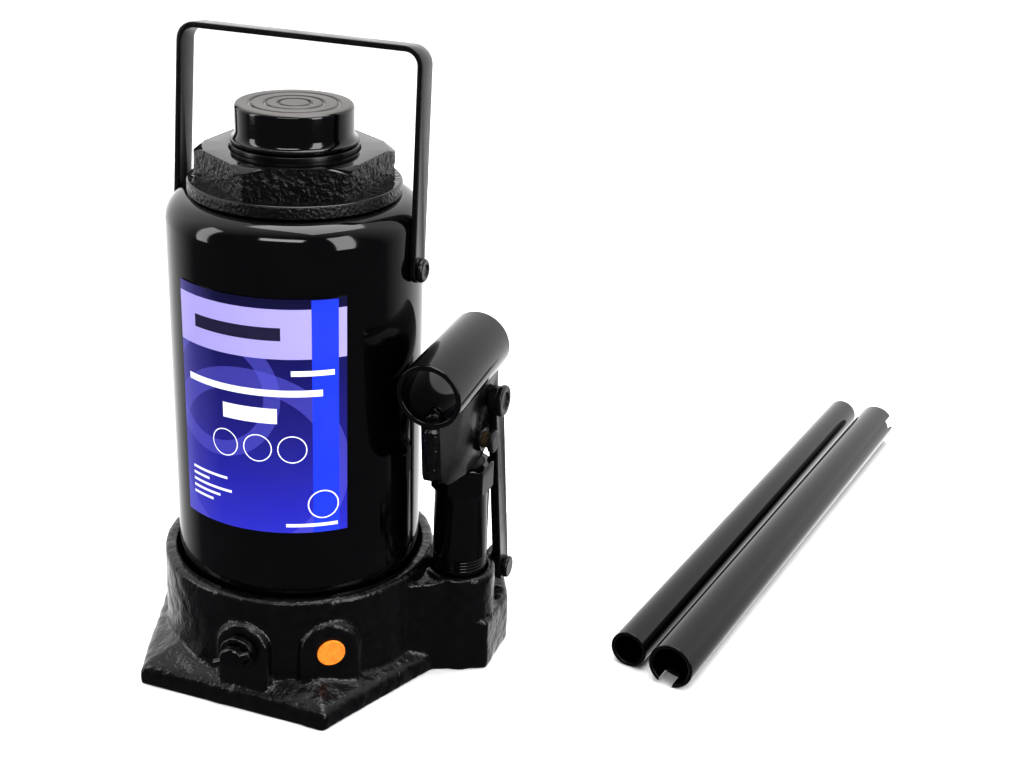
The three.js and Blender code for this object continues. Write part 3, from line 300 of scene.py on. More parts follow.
def slab(name, outline, low, high):
    return lofted(name, [(outline, low), (outline, high)])


def rod(name, radius, low, high, segments=FINE):
    return turned(name, [(0, low), (radius, low), (radius, high), (0, high)], segments)


def place(piece, x=0.0, y=0.0, z=0.0, turn=(0, 0, 0)):
    """Turns a piece about the axes, in degrees, then moves it, in millimetres."""
    turning = Euler([math.radians(angle) for angle in turn]).to_matrix().to_4x4()
    piece.data.transform(Matrix.Translation(Vector((x, y, z)) * MM) @ turning)
    return piece


def across(piece):
    """Lays a piece made along Z along X."""
    return place(piece, turn=(0, 90, 0))


def side_plate(name, outline, low, high):
    """A plate drawn in the Y-Z plane, from one x to another."""
    piece = slab(name, outline, low, high)
    axes = Matrix(((0, 0, 1, 0), (1, 0, 0, 0), (0, 1, 0, 0), (0, 0, 0, 1)))
    piece.data.transform(axes)
    return piece


def settle(piece):
    """Makes the modifiers' result the piece's own mesh."""
    bpy.context.view_layer.update()
    finished = piece.evaluated_get(bpy.context.evaluated_depsgraph_get())
    mesh = bpy.data.meshes.new_from_object(finished)
    piece.modifiers.clear()
    piece.data = mesh
    shade(piece)
    return piece


def combine(piece, tools, operation):
    for tool in tools:
        change = piece.modifiers.new("combine", "BOOLEAN")
        change.operation = operation
        change.solver = "EXACT"
        change.object = tool
    settle(piece)
    for tool in tools:
        bpy.data.objects.remove(tool)
    return piece


def soften(piece, width, segments=3):
    """Rounds a piece's sharp edges."""
    bevel = piece.modifiers.new("soften", "BEVEL")
    bevel.width = width * MM
    bevel.segments = segments
    bevel.limit_method = "ANGLE"
    bevel.angle_limit = math.radians(32)
    return settle(piece)


def grain(spot, grains):
    """Height of a rough surface at a place, from (size, height) pairs in millimetres."""
    return sum(height * noise.noise(spot / size) for size, height in grains)


def roughen(piece, grains, share=lambda spot: 1.0):
    vertices = piece.data.vertices
    normals = [vertex.normal.copy() for vertex in vertices]
    for vertex, normal in zip(vertices, normals):
        spot = vertex.co / MM
        vertex.co = (spot + normal * grain(spot, grains) * share(spot)) * MM


def remesh(piece, voxel, rounds):
    """One even skin over joined shapes, with its edges and inner corners rounded."""
    skin = piece.modifiers.new("skin", "REMESH")
    skin.mode = "VOXEL"
    skin.voxel_size = voxel * MM
    smooth = piece.modifiers.new("round", "SMOOTH")
    smooth.factor = 0.5
    smooth.iterations = rounds
    return settle(piece)


# ---------- fitting pieces to the frame ----------


def ride_with(piece, node, material):
    """The piece moves with a node's body, in the material it is given."""
    piece.data.materials.clear()
    piece.data.materials.append(material)
    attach(piece, BODY_OF[node])


def stand_for(piece, node, material):
    """The piece is shown instead of a node."""
    ride_with(piece, node, material)
    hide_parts(node)


# ---------- material helpers ----------


def colour(code):
    """Linear colour of an sRGB hex value."""
    parts = [int(code[i:i + 2], 16) / 255 for i in (1, 3, 5)]
    linear = [p / 12.92 if p <= 0.04045 else ((p + 0.055) / 1.055) ** 2.4 for p in parts]
    return (*linear, 1.0)


def add_node(tree, kind, inputs=None, **settings):
    """One node with its settings, its values and the links into it."""
    node = tree.nodes.new(kind)
    for name, value in settings.items():
        setattr(node, name, value)
    for socket, value in (inputs or {}).items():
        if isinstance(value, bpy.types.NodeSocket):
            tree.links.new(value, node.inputs[socket])
        else:
            node.inputs[socket].default_value = value
    return node


def begin(name, **uniform):
    """A material with a bare shader, and the place on the piece."""
    material = bpy.data.materials.new(name)
    material.use_nodes = True
    tree = material.node_tree
    tree.nodes.clear()
    values = {socket.replace("_", " "): value for socket, value in uniform.items()}
    shader = add_node(tree, "ShaderNodeBsdfPrincipled", values)
    add_node(tree, "ShaderNodeOutputMaterial", {"Surface": shader.outputs["BSDF"]})
    spot = add_node(tree, "ShaderNodeTexCoord").outputs["Object"]
    return material, tree, shader, spot


def speckle(tree, spot, size, detail=3.0):
    """Noise whose spots are about this many millimetres across."""
    inputs = {"Vector": spot, "Scale": 1 / (size * MM), "Detail": detail}
    return add_node(tree, "ShaderNodeTexNoise", inputs).outputs["Fac"]


def shade_between(tree, amount, low, high):
    """A colour between two hex values."""
    ramp = add_node(tree, "ShaderNodeValToRGB", {"Fac": amount})
    ramp.color_ramp.elements[0].position = 0.35
    ramp.color_ramp.elements[0].color = colour(low)
    ramp.color_ramp.elements[1].position = 0.65
    ramp.color_ramp.elements[1].color = colour(high)
    return ramp.outputs["Color"]


def spread(tree, amount, low, high):
    """A value between two others, as the noise goes from low to high."""
    inputs = {"Value": amount, "From Min": 0.3, "From Max": 0.7, "To Min": low, "To Max": high}
    return add_node(tree, "ShaderNodeMapRange", inputs).outputs["Result"]


def bumped(tree, shader, layers):
    """Relief from (height source, millimetres high) layers, one over the other."""
    normal = None
    for source, height in layers:
        inputs = {"Height": source, "Distance": height * MM, "Strength": 1.0}
        if normal:
            inputs["Normal"] = normal
        normal = add_node(tree, "ShaderNodeBump", inputs).outputs["Normal"]
    tree.links.new(normal, shader.inputs["Normal"])


def enamel(name, dark, light, gloss, patch, ripples):
    """Black paint: gloss is its least and greatest roughness, ripples are (size, height)."""
    material, tree, shader, spot = begin(name, Metallic=0.0, IOR=1.46)
    patches = speckle(tree, spot, patch)
    tree.links.new(shade_between(tree, patches, dark, light), shader.inputs["Base Color"])
    tree.links.new(spread(tree, patches, *gloss), shader.inputs["Roughness"])
    bumped(tree, shader, [(speckle(tree, spot, size), height) for size, height in ripples])
    return material


# ---------- materials ----------


def gloss_enamel():
    # dipped and stoved gloss enamel on drawn tube: mirror-like, with a faint orange peel
    return enamel("stoved_gloss_black_enamel", "#030304", "#050506", (0.05, 0.1), 18, [(5, 0.008)])


def satin_enamel():
    # thinner enamel on pressed steel: the same black, with broader highlights
    return enamel("satin_black_enamel_on_pressed_steel", "#070708", "#0c0c0d", (0.2, 0.32), 9,
                  [(2.2, 0.02), (7, 0.03)])


def cast_enamel():
    # enamel over sand-cast iron: the sand's grain shows through as glittering points.
    # Real sand is about 0.3 mm; it is drawn at 1.3 mm so that it shows.
    return enamel("black_enamel_on_sand_cast_iron", "#040405", "#0a0a0b", (0.1, 0.22), 5,
                  [(1.3, 0.24), (3.4, 0.25)])


def nut_enamel():
    # the same casting on the hexagon's sides, but smooth paint where the nut was turned
    material, tree, shader, spot = begin("black_enamel_on_turned_cast_nut", IOR=1.46)
    patches = speckle(tree, spot, 6)
    tree.links.new(shade_between(tree, patches, "#040405", "#0a0a0b"), shader.inputs["Base Color"])
    facing = add_node(tree, "ShaderNodeNewGeometry").outputs["Normal"]
    upward = add_node(tree, "ShaderNodeSeparateXYZ", {"Vector": facing}).outputs["Z"]
    upright = {"Value": upward, "From Min": 0.3, "From Max": 0.7, "To Min": 1.0, "To Max": 0.0}
    cast = add_node(tree, "ShaderNodeMapRange", upright).outputs["Result"]
    coarse = speckle(tree, spot, 1.4)
    height = add_node(tree, "ShaderNodeMath", {0: coarse, 1: cast}, operation="MULTIPLY")
    rough = {"Value": cast, "To Min": 0.1, "To Max": 0.22}
    roughness = add_node(tree, "ShaderNodeMapRange", rough).outputs["Result"]
    tree.links.new(roughness, shader.inputs["Roughness"])
    bumped(tree, shader, [(height.outputs["Value"], 0.8), (speckle(tree, spot, 5), 0.02)])
    return material


def saddle_enamel():
    # gloss enamel on the saddle's side, and a rougher satin turned face on top whose lighter grey colour is
    # a painted sheen of the overhead light
    material, tree, shader, spot = begin("black_enamel_on_turned_saddle_with_painted_top_sheen", IOR=1.52)
    height = add_node(tree, "ShaderNodeSeparateXYZ", {"Vector": spot}).outputs["Z"]
    top = {"Value": height, "From Min": (SADDLE_TOP - 0.6) * MM, "From Max": (SADDLE_TOP - 0.2) * MM}
    face = add_node(tree, "ShaderNodeMapRange", top).outputs["Result"]
    # the top face's lighter grey is painted sheen, colour standing in for the overhead light it reflects;
    # only its greater roughness is real
    tree.links.new(shade_between(tree, face, "#040405", "#4a4745"), shader.inputs["Base Color"])
    rough = add_node(tree, "ShaderNodeMapRange", {"Value": face, "To Min": 0.1, "To Max": 0.42})
    tree.links.new(rough.outputs["Result"], shader.inputs["Roughness"])
    bumped(tree, shader, [(speckle(tree, spot, 6), 0.05), (speckle(tree, spot, 1.2), 0.01)])
    return material


def turned_steel():
    # ground and turned steel: bright, with fine rings round the axis.
    # Real tool marks are about 0.1 mm apart; they are drawn 0.5 mm apart so that they show.
    material, tree, shader, spot = begin("turned_and_ground_steel", Metallic=1.0)
    patches = speckle(tree, spot, 12)
    tree.links.new(shade_between(tree, patches, "#a9abad", "#c3c5c7"), shader.inputs["Base Color"])
    tree.links.new(spread(tree, patches, 0.16, 0.28), shader.inputs["Roughness"])
    rings = {"Vector": spot, "Scale": 1 / (0.5 * MM * TAU), "Distortion": 0.4}
    marks = add_node(tree, "ShaderNodeTexWave", rings, bands_direction="Z").outputs["Fac"]
    bumped(tree, shader, [(marks, 0.004)])
    return material


def nitrile_rubber():
    # moulded nitrile: dull black with a faint skin texture
    return enamel("moulded_nitrile_rubber", "#111112", "#1a1a1b", (0.55, 0.75), 3, [(0.8, 0.03)])


def turned_brass():
    # turned brass rings: warm metal with small tarnished patches
    material, tree, shader, spot = begin("turned_brass", Metallic=1.0)
    patches = speckle(tree, spot, 4)
    tree.links.new(shade_between(tree, patches, "#a5803a", "#c8a050"), shader.inputs["Base Color"])
    tree.links.new(spread(tree, patches, 0.25, 0.4), shader.inputs["Roughness"])
    bumped(tree, shader, [(speckle(tree, spot, 1), 0.01)])
    return material


def greasy_pin():
    # a pin with a painted black head, and brown grease on its shank up to under the head
    material, tree, shader, spot = begin("painted_pin_with_greased_shank", IOR=1.5)
    patches = speckle(tree, spot, 2)
    grease = shade_between(tree, patches, "#241c10", "#4a3b1c")
    along = add_node(tree, "ShaderNodeSeparateXYZ", {"Vector": spot}).outputs["X"]
    under_head = node_box("piston_pin")[1].x - PIN_HEAD - 0.1
    head = add_node(tree, "ShaderNodeMath", {0: along, 1: under_head * MM}, operation="GREATER_THAN")
    mix = add_node(tree, "ShaderNodeMix", {"Factor": head.outputs["Value"]}, data_type="RGBA")
    tree.links.new(grease, mix.inputs[6])
    mix.inputs[7].default_value = colour("#0a0a0b")
    tree.links.new(mix.outputs[2], shader.inputs["Base Color"])
    tree.links.new(spread(tree, patches, 0.25, 0.5), shader.inputs["Roughness"])
    bumped(tree, shader, [(speckle(tree, spot, 1.5), 0.06)])
    return material


def orange_plastic():
    # moulded polypropylene cap: soft orange with a waxy surface
    material, tree, shader, spot = begin("moulded_orange_polypropylene", IOR=1.49)
    patches = speckle(tree, spot, 2.5)
    tree.links.new(shade_between(tree, patches, "#f07d12", "#f99422"), shader.inputs["Base Color"])
    tree.links.new(spread(tree, patches, 0.38, 0.5), shader.inputs["Roughness"])
    bumped(tree, shader, [(speckle(tree, spot, 1), 0.02)])
    return material


# ---------- the printed label ----------

LABEL_RADIUS = 55.4
LABEL_CENTRE = -81.5
LABEL_SPAN = 80
LABEL_WIDTH = LABEL_RADIUS * math.radians(LABEL_SPAN)
LABEL_HEIGHT = label_high.z - label_low.z

# (middle x, middle y, half width, half height), from the label's lower left corner
LABEL_BARS = [
    (36, 64.5, 31, 1.5), (36, 54.2, 12, 3.4), (63, 73.4, 9, 1.2), (30, 90.4, 20, 2.8),
    (15, 22.4, 10, 0.6), (10, 19.4, 5, 0.6), (16, 16.4, 11, 0.6), (13, 13.4, 8, 0.6),
    (11, 10.4, 6, 0.6), (62, 3.6, 11, 0.8),
]
DARK_BAR = 3  # this one is dark, on the pale band
# (middle x, middle y, radius, line)
LABEL_RINGS = [(24.4, 39.2, 6, 0.5), (39.4, 39.2, 6, 0.5), (54.1, 39.2, 6, 0.5), (66.9, 13.2, 6.4, 0.6)]
LABEL_ARCS = [(20, 62, 26, 7), (34, 30, 40, 9)]


class LabelPrint:
    """Flat printed shapes on the label, laid one over another."""

    def __init__(self, tree):
        self.tree = tree
        sheet = add_node(tree, "ShaderNodeUVMap", uv_map="sheet").outputs["UV"]
        scale = {0: sheet, 1: (LABEL_WIDTH, LABEL_HEIGHT, 0)}
        self.spot = add_node(tree, "ShaderNodeVectorMath", scale, operation="MULTIPLY").outputs[0]
        parts = add_node(tree, "ShaderNodeSeparateXYZ", {"Vector": self.spot})
        self.x = parts.outputs["X"]
        self.y = parts.outputs["Y"]

    def math(self, operation, first, second=0.0):
        node = add_node(self.tree, "ShaderNodeMath", {0: first, 1: second}, operation=operation)
        return node.outputs["Value"]

    def within(self, value, centre, half):
        away = self.math("ABSOLUTE", self.math("SUBTRACT", value, centre))
        return self.math("LESS_THAN", away, half)

    def bar(self, x, y, half_width, half_height):
        wide = self.within(self.x, x, half_width)
        return self.math("MULTIPLY", wide, self.within(self.y, y, half_height))

    def ring(self, x, y, radius, line):
        centre = {0: self.spot, 1: (x, y, 0)}
        away = add_node(self.tree, "ShaderNodeVectorMath", centre, operation="DISTANCE")
        return self.within(away.outputs["Value"], radius, line / 2)

    def over(self, under, mask, code, strength=1.0):
        """A printed colour over what is below it, where the mask is 1."""
        if strength < 1:
            mask = self.math("MULTIPLY", mask, strength)
        mix = add_node(self.tree, "ShaderNodeMix", {"Factor": mask}, data_type="RGBA")
        self.tree.links.new(under, mix.inputs[6])
        mix.inputs[7].default_value = colour(code)
        return mix.outputs[2]


def label_film():
    # offset-printed polyester film: saturated blues under a clear gloss laminate
    material, tree, shader, spot = begin("printed_polyester_film", IOR=1.5)
    ink = LabelPrint(tree)
    height = ink.math("DIVIDE", ink.y, LABEL_HEIGHT)
    ramp = add_node(tree, "ShaderNodeValToRGB", {"Fac": height})
    ramp.color_ramp.elements[0].color = colour("#2b2db4")
    ramp.color_ramp.elements[1].color = colour("#0d0b38")
    ramp.color_ramp.elements.new(0.45).color = colour("#1c1a78")
    print_colour = ramp.outputs["Color"]
    for shape in LABEL_ARCS:
        print_colour = ink.over(print_colour, ink.ring(*shape), "#5a58c0", 0.45)
    left = ink.math("SUBTRACT", 1.0, ink.math("DIVIDE", ink.x, 22.0))
    print_colour = ink.over(print_colour, ink.math("MAXIMUM", left, 0.0), "#5c57a8", 0.5)
    print_colour = ink.over(print_colour, ink.bar(39, 90.4, 39, 10.8), "#a19ad2")
    print_colour = ink.over(print_colour, ink.bar(68.2, 52, 5.6, 53), "#1a3adc")
    for number, bar in enumerate(LABEL_BARS):
        code = "#22203f" if number == DARK_BAR else "#e9e9f4"
        print_colour = ink.over(print_colour, ink.bar(*bar), code)
    for ring in LABEL_RINGS:
        print_colour = ink.over(print_colour, ink.ring(*ring), "#e9e9f4")
    tree.links.new(print_colour, shader.inputs["Base Color"])
    tree.links.new(spread(tree, speckle(tree, spot, 20), 0.16, 0.26), shader.inputs["Roughness"])
    bumped(tree, shader, [(speckle(tree, spot, 14), 0.03)])
    return material


def label_piece(material):
    """Thin curved film with its printing laid out flat in its map."""
    columns, rows = 90, 40
    bm = bmesh.new()
    sheet = bm.loops.layers.uv.new("sheet")
    grid = []
    for i in range(columns + 1):
        angle = math.radians(LABEL_CENTRE + LABEL_SPAN * (i / columns - 0.5))
        c, s = math.cos(angle), math.sin(angle)
        heights = [label_low.z + LABEL_HEIGHT * j / rows for j in range(rows + 1)]
        grid.append([bm.verts.new((LABEL_RADIUS * c, LABEL_RADIUS * s, z)) for z in heights])
    for i in range(columns):
        for j in range(rows):
            corners = [(i, j), (i + 1, j), (i + 1, j + 1), (i, j + 1)]
            face = bm.faces.new([grid[a][b] for a, b in corners])
            for loop, (a, b) in zip(face.loops, corners):
                loop[sheet].uv = (a / columns, b / rows)
    piece = make_piece("label_film", bm)
    thickness = piece.modifiers.new("film", "SOLIDIFY")
    thickness.thickness = 0.35 * MM
    thickness.offset = -1
    stand_for(settle(piece), "label_panel", material)


# ---------- tank ----------


def tank_piece(material):
    crown = arc(TANK_RADIUS - SHOULDER, TANK_TOP - SHOULDER, SHOULDER, 0, 90, 14)
    under = arc(TANK_RADIUS - SHOULDER, TANK_TOP - SHOULDER, SHOULDER - TANK_WALL, 90, 0, 8)
    mouth = NUT_SPIGOT + 0.3
    profile = [(TANK_RADIUS, TANK_BOTTOM), *crown, (mouth, TANK_TOP), (mouth, TANK_TOP - TANK_WALL)]
    profile += [*under, (TANK_RADIUS - TANK_WALL, TANK_BOTTOM)]
    stand_for(turned("tank_skin", profile, 192, closed=True), "tank_shell", material)


def hexagon_reach(angle, turn, corner, blunt):
    """How far a hexagon reaches at an angle; one flat faces the turn, in degrees."""
    off = (angle - math.radians(turn) + TAU / 12) % (TAU / 6) - TAU / 12
    flat = corner * math.cos(TAU / 12)
    return min(flat / math.cos(off), corner - blunt)


def nut_profile(angle):
    """The nut's section at an angle: the hexagon's side is rough, its top is turned smooth."""
    flange_top = NUT_TOP - NUT_HEXAGON
    flange_low = flange_top - NUT_FLANGE_HEIGHT
    reach = hexagon_reach(angle, NUT_TURN, NUT_CORNER, 0.6)
    edge = NUT_CORNER - NUT_CHAMFER
    side_top = NUT_TOP - max(0.0, reach - edge) * math.tan(math.radians(30))
    rows = 26
    side = []
    for i in range(rows + 1):
        z = flange_top + (side_top - flange_top) * i / rows
        spot = Vector((reach * math.cos(angle), reach * math.sin(angle), z))
        share = min(1.0, 4 * i / rows, 5 * (rows - i) / rows)
        side.append((reach + share * grain(spot, [(2.1, 0.45), (6, 0.35)]), z))
    flange = []
    for i in range(7):
        r = NUT_FLANGE_RADIUS - 1 - (NUT_FLANGE_RADIUS - 1 - reach) * i / 7
        spot = Vector((r * math.cos(angle), r * math.sin(angle), flange_top))
        flange.append((r, flange_top + grain(spot, [(2.1, 0.3)]) * min(1, i / 2)))
    rim = arc(NUT_FLANGE_RADIUS - 1, flange_top - 1, 1, 0, 80, 4)
    seat = wiper_high.x + 0.3
    return [
        (NUT_SPIGOT, flange_low - NUT_SPIGOT_DEPTH), (NUT_SPIGOT, flange_low),
        (NUT_FLANGE_RADIUS - 0.6, flange_low), (NUT_FLANGE_RADIUS, flange_low + 0.6),
        *rim, *flange, *side,
        (min(reach, edge + 0.4), NUT_TOP - 0.1), (min(reach, edge) - 0.6, NUT_TOP),
        (seat + 0.4, NUT_TOP), (seat, NUT_TOP - 0.4), (seat, wiper_low.z - 0.3),
        (RAM_RADIUS + 0.4, wiper_low.z - 0.3), (RAM_RADIUS + 0.4, flange_top + 0.9),
        (CYLINDER_RADIUS + 0.3, flange_top + 0.9), (CYLINDER_RADIUS + 0.3, flange_low - NUT_SPIGOT_DEPTH),
    ]


def nut_piece(material):
    stand_for(swept("top_nut_cast", nut_profile, 420, closed=True), "top_nut", material)


def wiper_piece(material):
    inner, outer = RAM_RADIUS + 0.3, wiper_high.x
    section = [(inner, wiper_low.z), (outer, wiper_low.z), (outer, wiper_high.z), (inner, wiper_high.z)]
    stand_for(turned("wiper_lip", eased(section, 0.7, True), closed=True), "wiper_ring", material)


def filler_piece(material):
    low, high = node_box("filler_plug")
    head = high.y
    profile = eased([(0, low.y), (4.5, low.y), (4.5, TANK_RADIUS + 1), (7.5, TANK_RADIUS + 1),
                     (7.5, head - 0.8), (6, head), (2.5, head), (0, head - 0.6)], 0.6)
    plug = turned("filler_plug_moulded", profile, FINE)
    place(plug, z=middle("filler_plug").z, turn=(-90, 0, 0))
    stand_for(plug, "filler_plug", material)


# ---------- ram and saddle ----------


def saddle_piece(material):
    bottom = saddle_low.z + SADDLE_SPIGOT_LENGTH
    half = 0.95
    top = []
    for radius in reversed(SADDLE_GROOVES):
        top += [(radius + half, SADDLE_TOP), (radius + half * 0.4, SADDLE_TOP - 0.7)]
        top += [(radius - half * 0.4, SADDLE_TOP - 0.7), (radius - half, SADDLE_TOP)]
    flare = [
        (SADDLE_LIP - 2.1 * math.sin(math.radians(a)), bottom + 5 - 3.5 * math.cos(math.radians(a)))
        for a in range(0, 91, 10)
    ]
    profile = [
        (0, saddle_low.z), (SADDLE_SPIGOT, saddle_low.z), (SADDLE_SPIGOT, bottom),
        (SADDLE_LIP - 0.7, bottom),
        (SADDLE_LIP, bottom + 0.7), *flare,
        *eased([(SADDLE_RADIUS, bottom + 5.2), (SADDLE_RADIUS, SADDLE_TOP - 1),
                (SADDLE_RADIUS - 1, SADDLE_TOP), (21.5, SADDLE_TOP)], 0.5),
        *top, (0, SADDLE_TOP),
    ]
    stand_for(turned("saddle_turned", profile), "ram_saddle", material)


def ram_piece(material):
    top = ram_high.z
    groove_low, groove_high = SEAL_GROOVE_ENDS
    profile = eased([
        (0, ram_low.z), (RAM_HEAD, ram_low.z), (RAM_HEAD, groove_low), (SEAL_GROOVE, groove_low),
        (SEAL_GROOVE, groove_high), (RAM_HEAD, groove_high), (RAM_HEAD, RAM_HEAD_TOP),
        (RAM_RADIUS, RAM_HEAD_TOP), (RAM_RADIUS, top), (SPIGOT_BORE, top),
        (SPIGOT_BORE, top - SPIGOT_DEPTH), (0, top - SPIGOT_DEPTH),
    ], 0.3, steps=3)
    stand_for(turned("ram_ground", profile), "ram_rod", material)


# ---------- base casting ----------


def flange_blank():
    front, side = base_high.y, -base_low.x
    right = [(FLANGE_FRONT_HALF, -front), (side, -FLANGE_SIDE_Y), (side, FLANGE_SIDE_Y)]
    right.append((FLANGE_FRONT_HALF, front))
    outline = right + [(-x, y) for x, y in reversed(right)]
    roof = drawn_in(outline, FLANGE_SLOPE)
    rings = [(outline, 0), (outline, FLANGE_EDGE - 2.5), (drawn_in(outline, 0.9), FLANGE_EDGE - 0.4)]
    rings += [(drawn_in(outline, 3.2), FLANGE_EDGE + 1.4), (roof, FLANGE_EDGE + FLANGE_RISE)]
    return lofted("flange", rings)


def collar_blank():
    rim = eased([(COLLAR_RADIUS, 20), (COLLAR_RADIUS, COLLAR_TOP), (COLLAR_INNER, COLLAR_TOP)], 2.5)
    profile = [(0, 0), (COLLAR_RADIUS, 0), *rim, (COLLAR_INNER, RESERVOIR_FLOOR)]
    profile += [(CYLINDER_RADIUS + 0.3, RESERVOIR_FLOOR), (CYLINDER_RADIUS + 0.3, 27), (0, 27)]
    return turned("collar", profile)


def arched_boss(radius, face):
    """Boss standing out towards -Y, with a round top."""
    outline = [(-radius, 0), *arc(0, VALVE_HEIGHT, radius, 0, 180, 24)]
    outline.insert(1, (radius, 0))
    inner = drawn_in(outline, 1.2)
    boss = lofted("boss", [(outline, VALVE_ROOT), (outline, face - 1.2), (inner, face)])
    return place(boss, turn=(90, 0, 0))


def pump_end_blanks():
    side, back = 92.5 - PUMP.x, FOOT.y + LUG_RADIUS - PUMP.y
    rim = eased([(PUMP_BOSS, 0), (PUMP_BOSS, PUMP_BOSS_TOP), (0, PUMP_BOSS_TOP)], 2.2)
    block = [(-26.7, -32.6), (-3.2, -18.9), (side, -8.6), (side, back - 17), (side - 8, back)]
    block += [(-24.7, 35), (-34.7, 17.4)]
    web = [(-28.7, -42.6), (-16.7, -28.6), (0, -16.2), (0, 16.2), (-26.7, 23.4)]
    blanks = [
        turned("pump_boss", [(0, 0), *rim], 96),
        lofted("block", [(block, 0), (block, BLOCK_TOP - 1.5), (drawn_in(block, 1.5), BLOCK_TOP)]),
        slab("web", web, 0, WEB_TOP),
    ]
    foot_y, foot_z = FOOT.y - PUMP.y, FOOT.z
    ear = [(foot_y - LUG_RADIUS, 20), (foot_y + LUG_RADIUS, 20)]
    ear += arc(foot_y, foot_z, LUG_RADIUS, 0, 180, 20)
    for x in (LUG_INNER, -LUG_OUTER):
        blanks.append(side_plate("lug", ear, x, x + LUG_OUTER - LUG_INNER))
    for blank in blanks:
        place(blank, PUMP.x, PUMP.y)
    return blanks


def bored(spot):
    """0 at the machined seats and on the underside, 1 on the cast skin."""
    from_pump = math.hypot(spot.x - PUMP.x, spot.y - PUMP.y)
    if spot.z < 0.6 or from_pump < PUMP_RADIUS + 1.6:
        return 0.0
    if math.hypot(spot.x, spot.y) < COLLAR_INNER + 1 and spot.z > 20:
        return 0.15
    return 1.0


def base_piece(material):
    release = place(arched_boss(RELEASE_BOSS, RELEASE_FACE), x=RELEASE.x)
    safety = place(arched_boss(SAFETY_BOSS, SAFETY_FACE), turn=(0, 0, SAFETY_TURN + 90))
    base = flange_blank()
    combine(base, [collar_blank(), release, safety, *pump_end_blanks()], "UNION")
    bore = rod("bore", PUMP_RADIUS + PUMP_SEAT_PLAY, PUMP_BOTTOM - 0.3, 60)
    combine(base, [place(bore, PUMP.x, PUMP.y)], "DIFFERENCE")
    base.name = "base_cast_iron"
    remesh(base, 0.8, 16)
    roughen(base, [(2.4, 0.13), (6, 0.26), (17, 0.5)], bored)
    for vertex in base.data.vertices:
        vertex.co.z = max(vertex.co.z, 0.0)
    shade(base, 60)
    stand_for(base, "base_casting", material)


# ---------- valves in the collar ----------


def facing_front(piece, x, z):
    """Turns a piece made along Z to point along -Y."""
    return place(piece, x=x, z=z, turn=(90, 0, 0))


def release_pieces(material, gloss):
    low, high = node_box("release_gland")
    face, root = -low.y, -high.y
    section = eased([(5, root), (8, root), (8, face), (5, face)], 0.9, True)
    gland = turned("release_gland_cast", section, 96, closed=True)
    roughen(gland, [(1.8, 0.3)])
    stand_for(facing_front(gland, RELEASE.x, RELEASE.z), "release_gland", material)

    low, high = node_box("release_screw")
    face = -low.y
    head = face - 5
    profile = eased([(0, -high.y), (2, -high.y), (SCREW_SHANK, 3 - high.y), (SCREW_SHANK, head),
                     (SCREW_HEAD, head), (SCREW_HEAD, face - 0.9), (4.8, face), (0, face)], 0.5)
    screw = turned("release_screw_turned", profile, FINE)
    stand_for(facing_front(screw, RELEASE.x, RELEASE.z), "release_screw", gloss)

    pin = middle("release_cross_pin")
    half = CROSS_PIN_HALF
    section = [(0, -half), (CROSS_PIN_RADIUS, -half), (CROSS_PIN_RADIUS, half), (0, half)]
    profile = eased(section, 0.6)
    bar = across(turned("release_cross_bar", profile, 32))
    place(bar, turn=(0, -CROSS_PIN_TILT, 0))
    place(bar, pin.x, pin.y, pin.z)
    stand_for(bar, "release_cross_pin", gloss)


def cap_piece(material):
    reach = math.hypot(CAP.x, CAP.y)
    profile = eased([(0, -0.5), (6.2, -0.5), (6.2, 0.3), (5.4, 0.55), (4.9, 0.3), (0, 0.35)], 0.3)
    cap = turned("safety_cap_moulded", profile, FINE)
    place(cap, turn=(90, 0, 0))
    place(cap, y=-reach, z=CAP.z)
    place(cap, turn=(0, 0, SAFETY_TURN + 90))
    stand_for(cap, "safety_valve_cap", material)


# ---------- pump ----------


def pump_profile(angle):
    hex_low = PUMP_TOP - PUMP_HEX_HEIGHT
    reach = hexagon_reach(angle, PUMP_HEX_TURN + 30, PUMP_HEX_CORNER, 0.5)
    cone = max(0.0, reach - 12.9) * 0.6
    threads = []
    for i in range(4):
        z = 49.4 + 1.5 * i
        threads += [(PUMP_RADIUS, z), (PUMP_RADIUS - 0.6, z + 0.45), (PUMP_RADIUS, z + 0.9)]
    return [
        (PUMP_RADIUS, PUMP_BOTTOM), *threads, (PUMP_RADIUS, hex_low - 0.3), (PUMP_RADIUS + 0.2, hex_low),
        (min(reach, 12.9) - 0.2, hex_low), (reach, hex_low + cone + 0.2), (reach, PUMP_TOP - cone - 0.3),
        (min(reach, 12.9) - 0.4, PUMP_TOP), (9.9, PUMP_TOP), (9.8, PUMP_TOP - 5.2),
        (PUMP_BORE, PUMP_TOP - 5.2), (PUMP_BORE, PUMP_BOTTOM),
    ]


def pump_piece(material):
    piece = place(swept("pump_barrel", pump_profile, 240, closed=True), PUMP.x, PUMP.y)
    stand_for(piece, "pump_cylinder", material)


def piston_piece(material):
    low, high = node_box("pump_piston")
    radius = PISTON_RADIUS
    rise = high.z - PISTON_PIN.z
    outline = [(-radius, PUMP_TOP - 1), (radius, PUMP_TOP - 1)]
    outline += [(radius * math.cos(math.radians(a)), PISTON_PIN.z + rise * math.sin(math.radians(a)))
                for a in range(0, 181, 9)]
    head = side_plate("piston_rod", outline, -PISTON_FLAT, PISTON_FLAT)
    combine(head, [rod("round", radius, 20, high.z + 1)], "INTERSECT")
    combine(head, [rod("shaft", radius, low.z, PUMP_TOP)], "UNION")
    hole = place(across(rod("hole", 3.6, -20, 20)), z=PISTON_PIN.z)
    combine(head, [hole], "DIFFERENCE")
    soften(head, 0.4)
    stand_for(place(head, PUMP.x, PUMP.y), "pump_piston", material)


# ---------- pins, washers and clips ----------


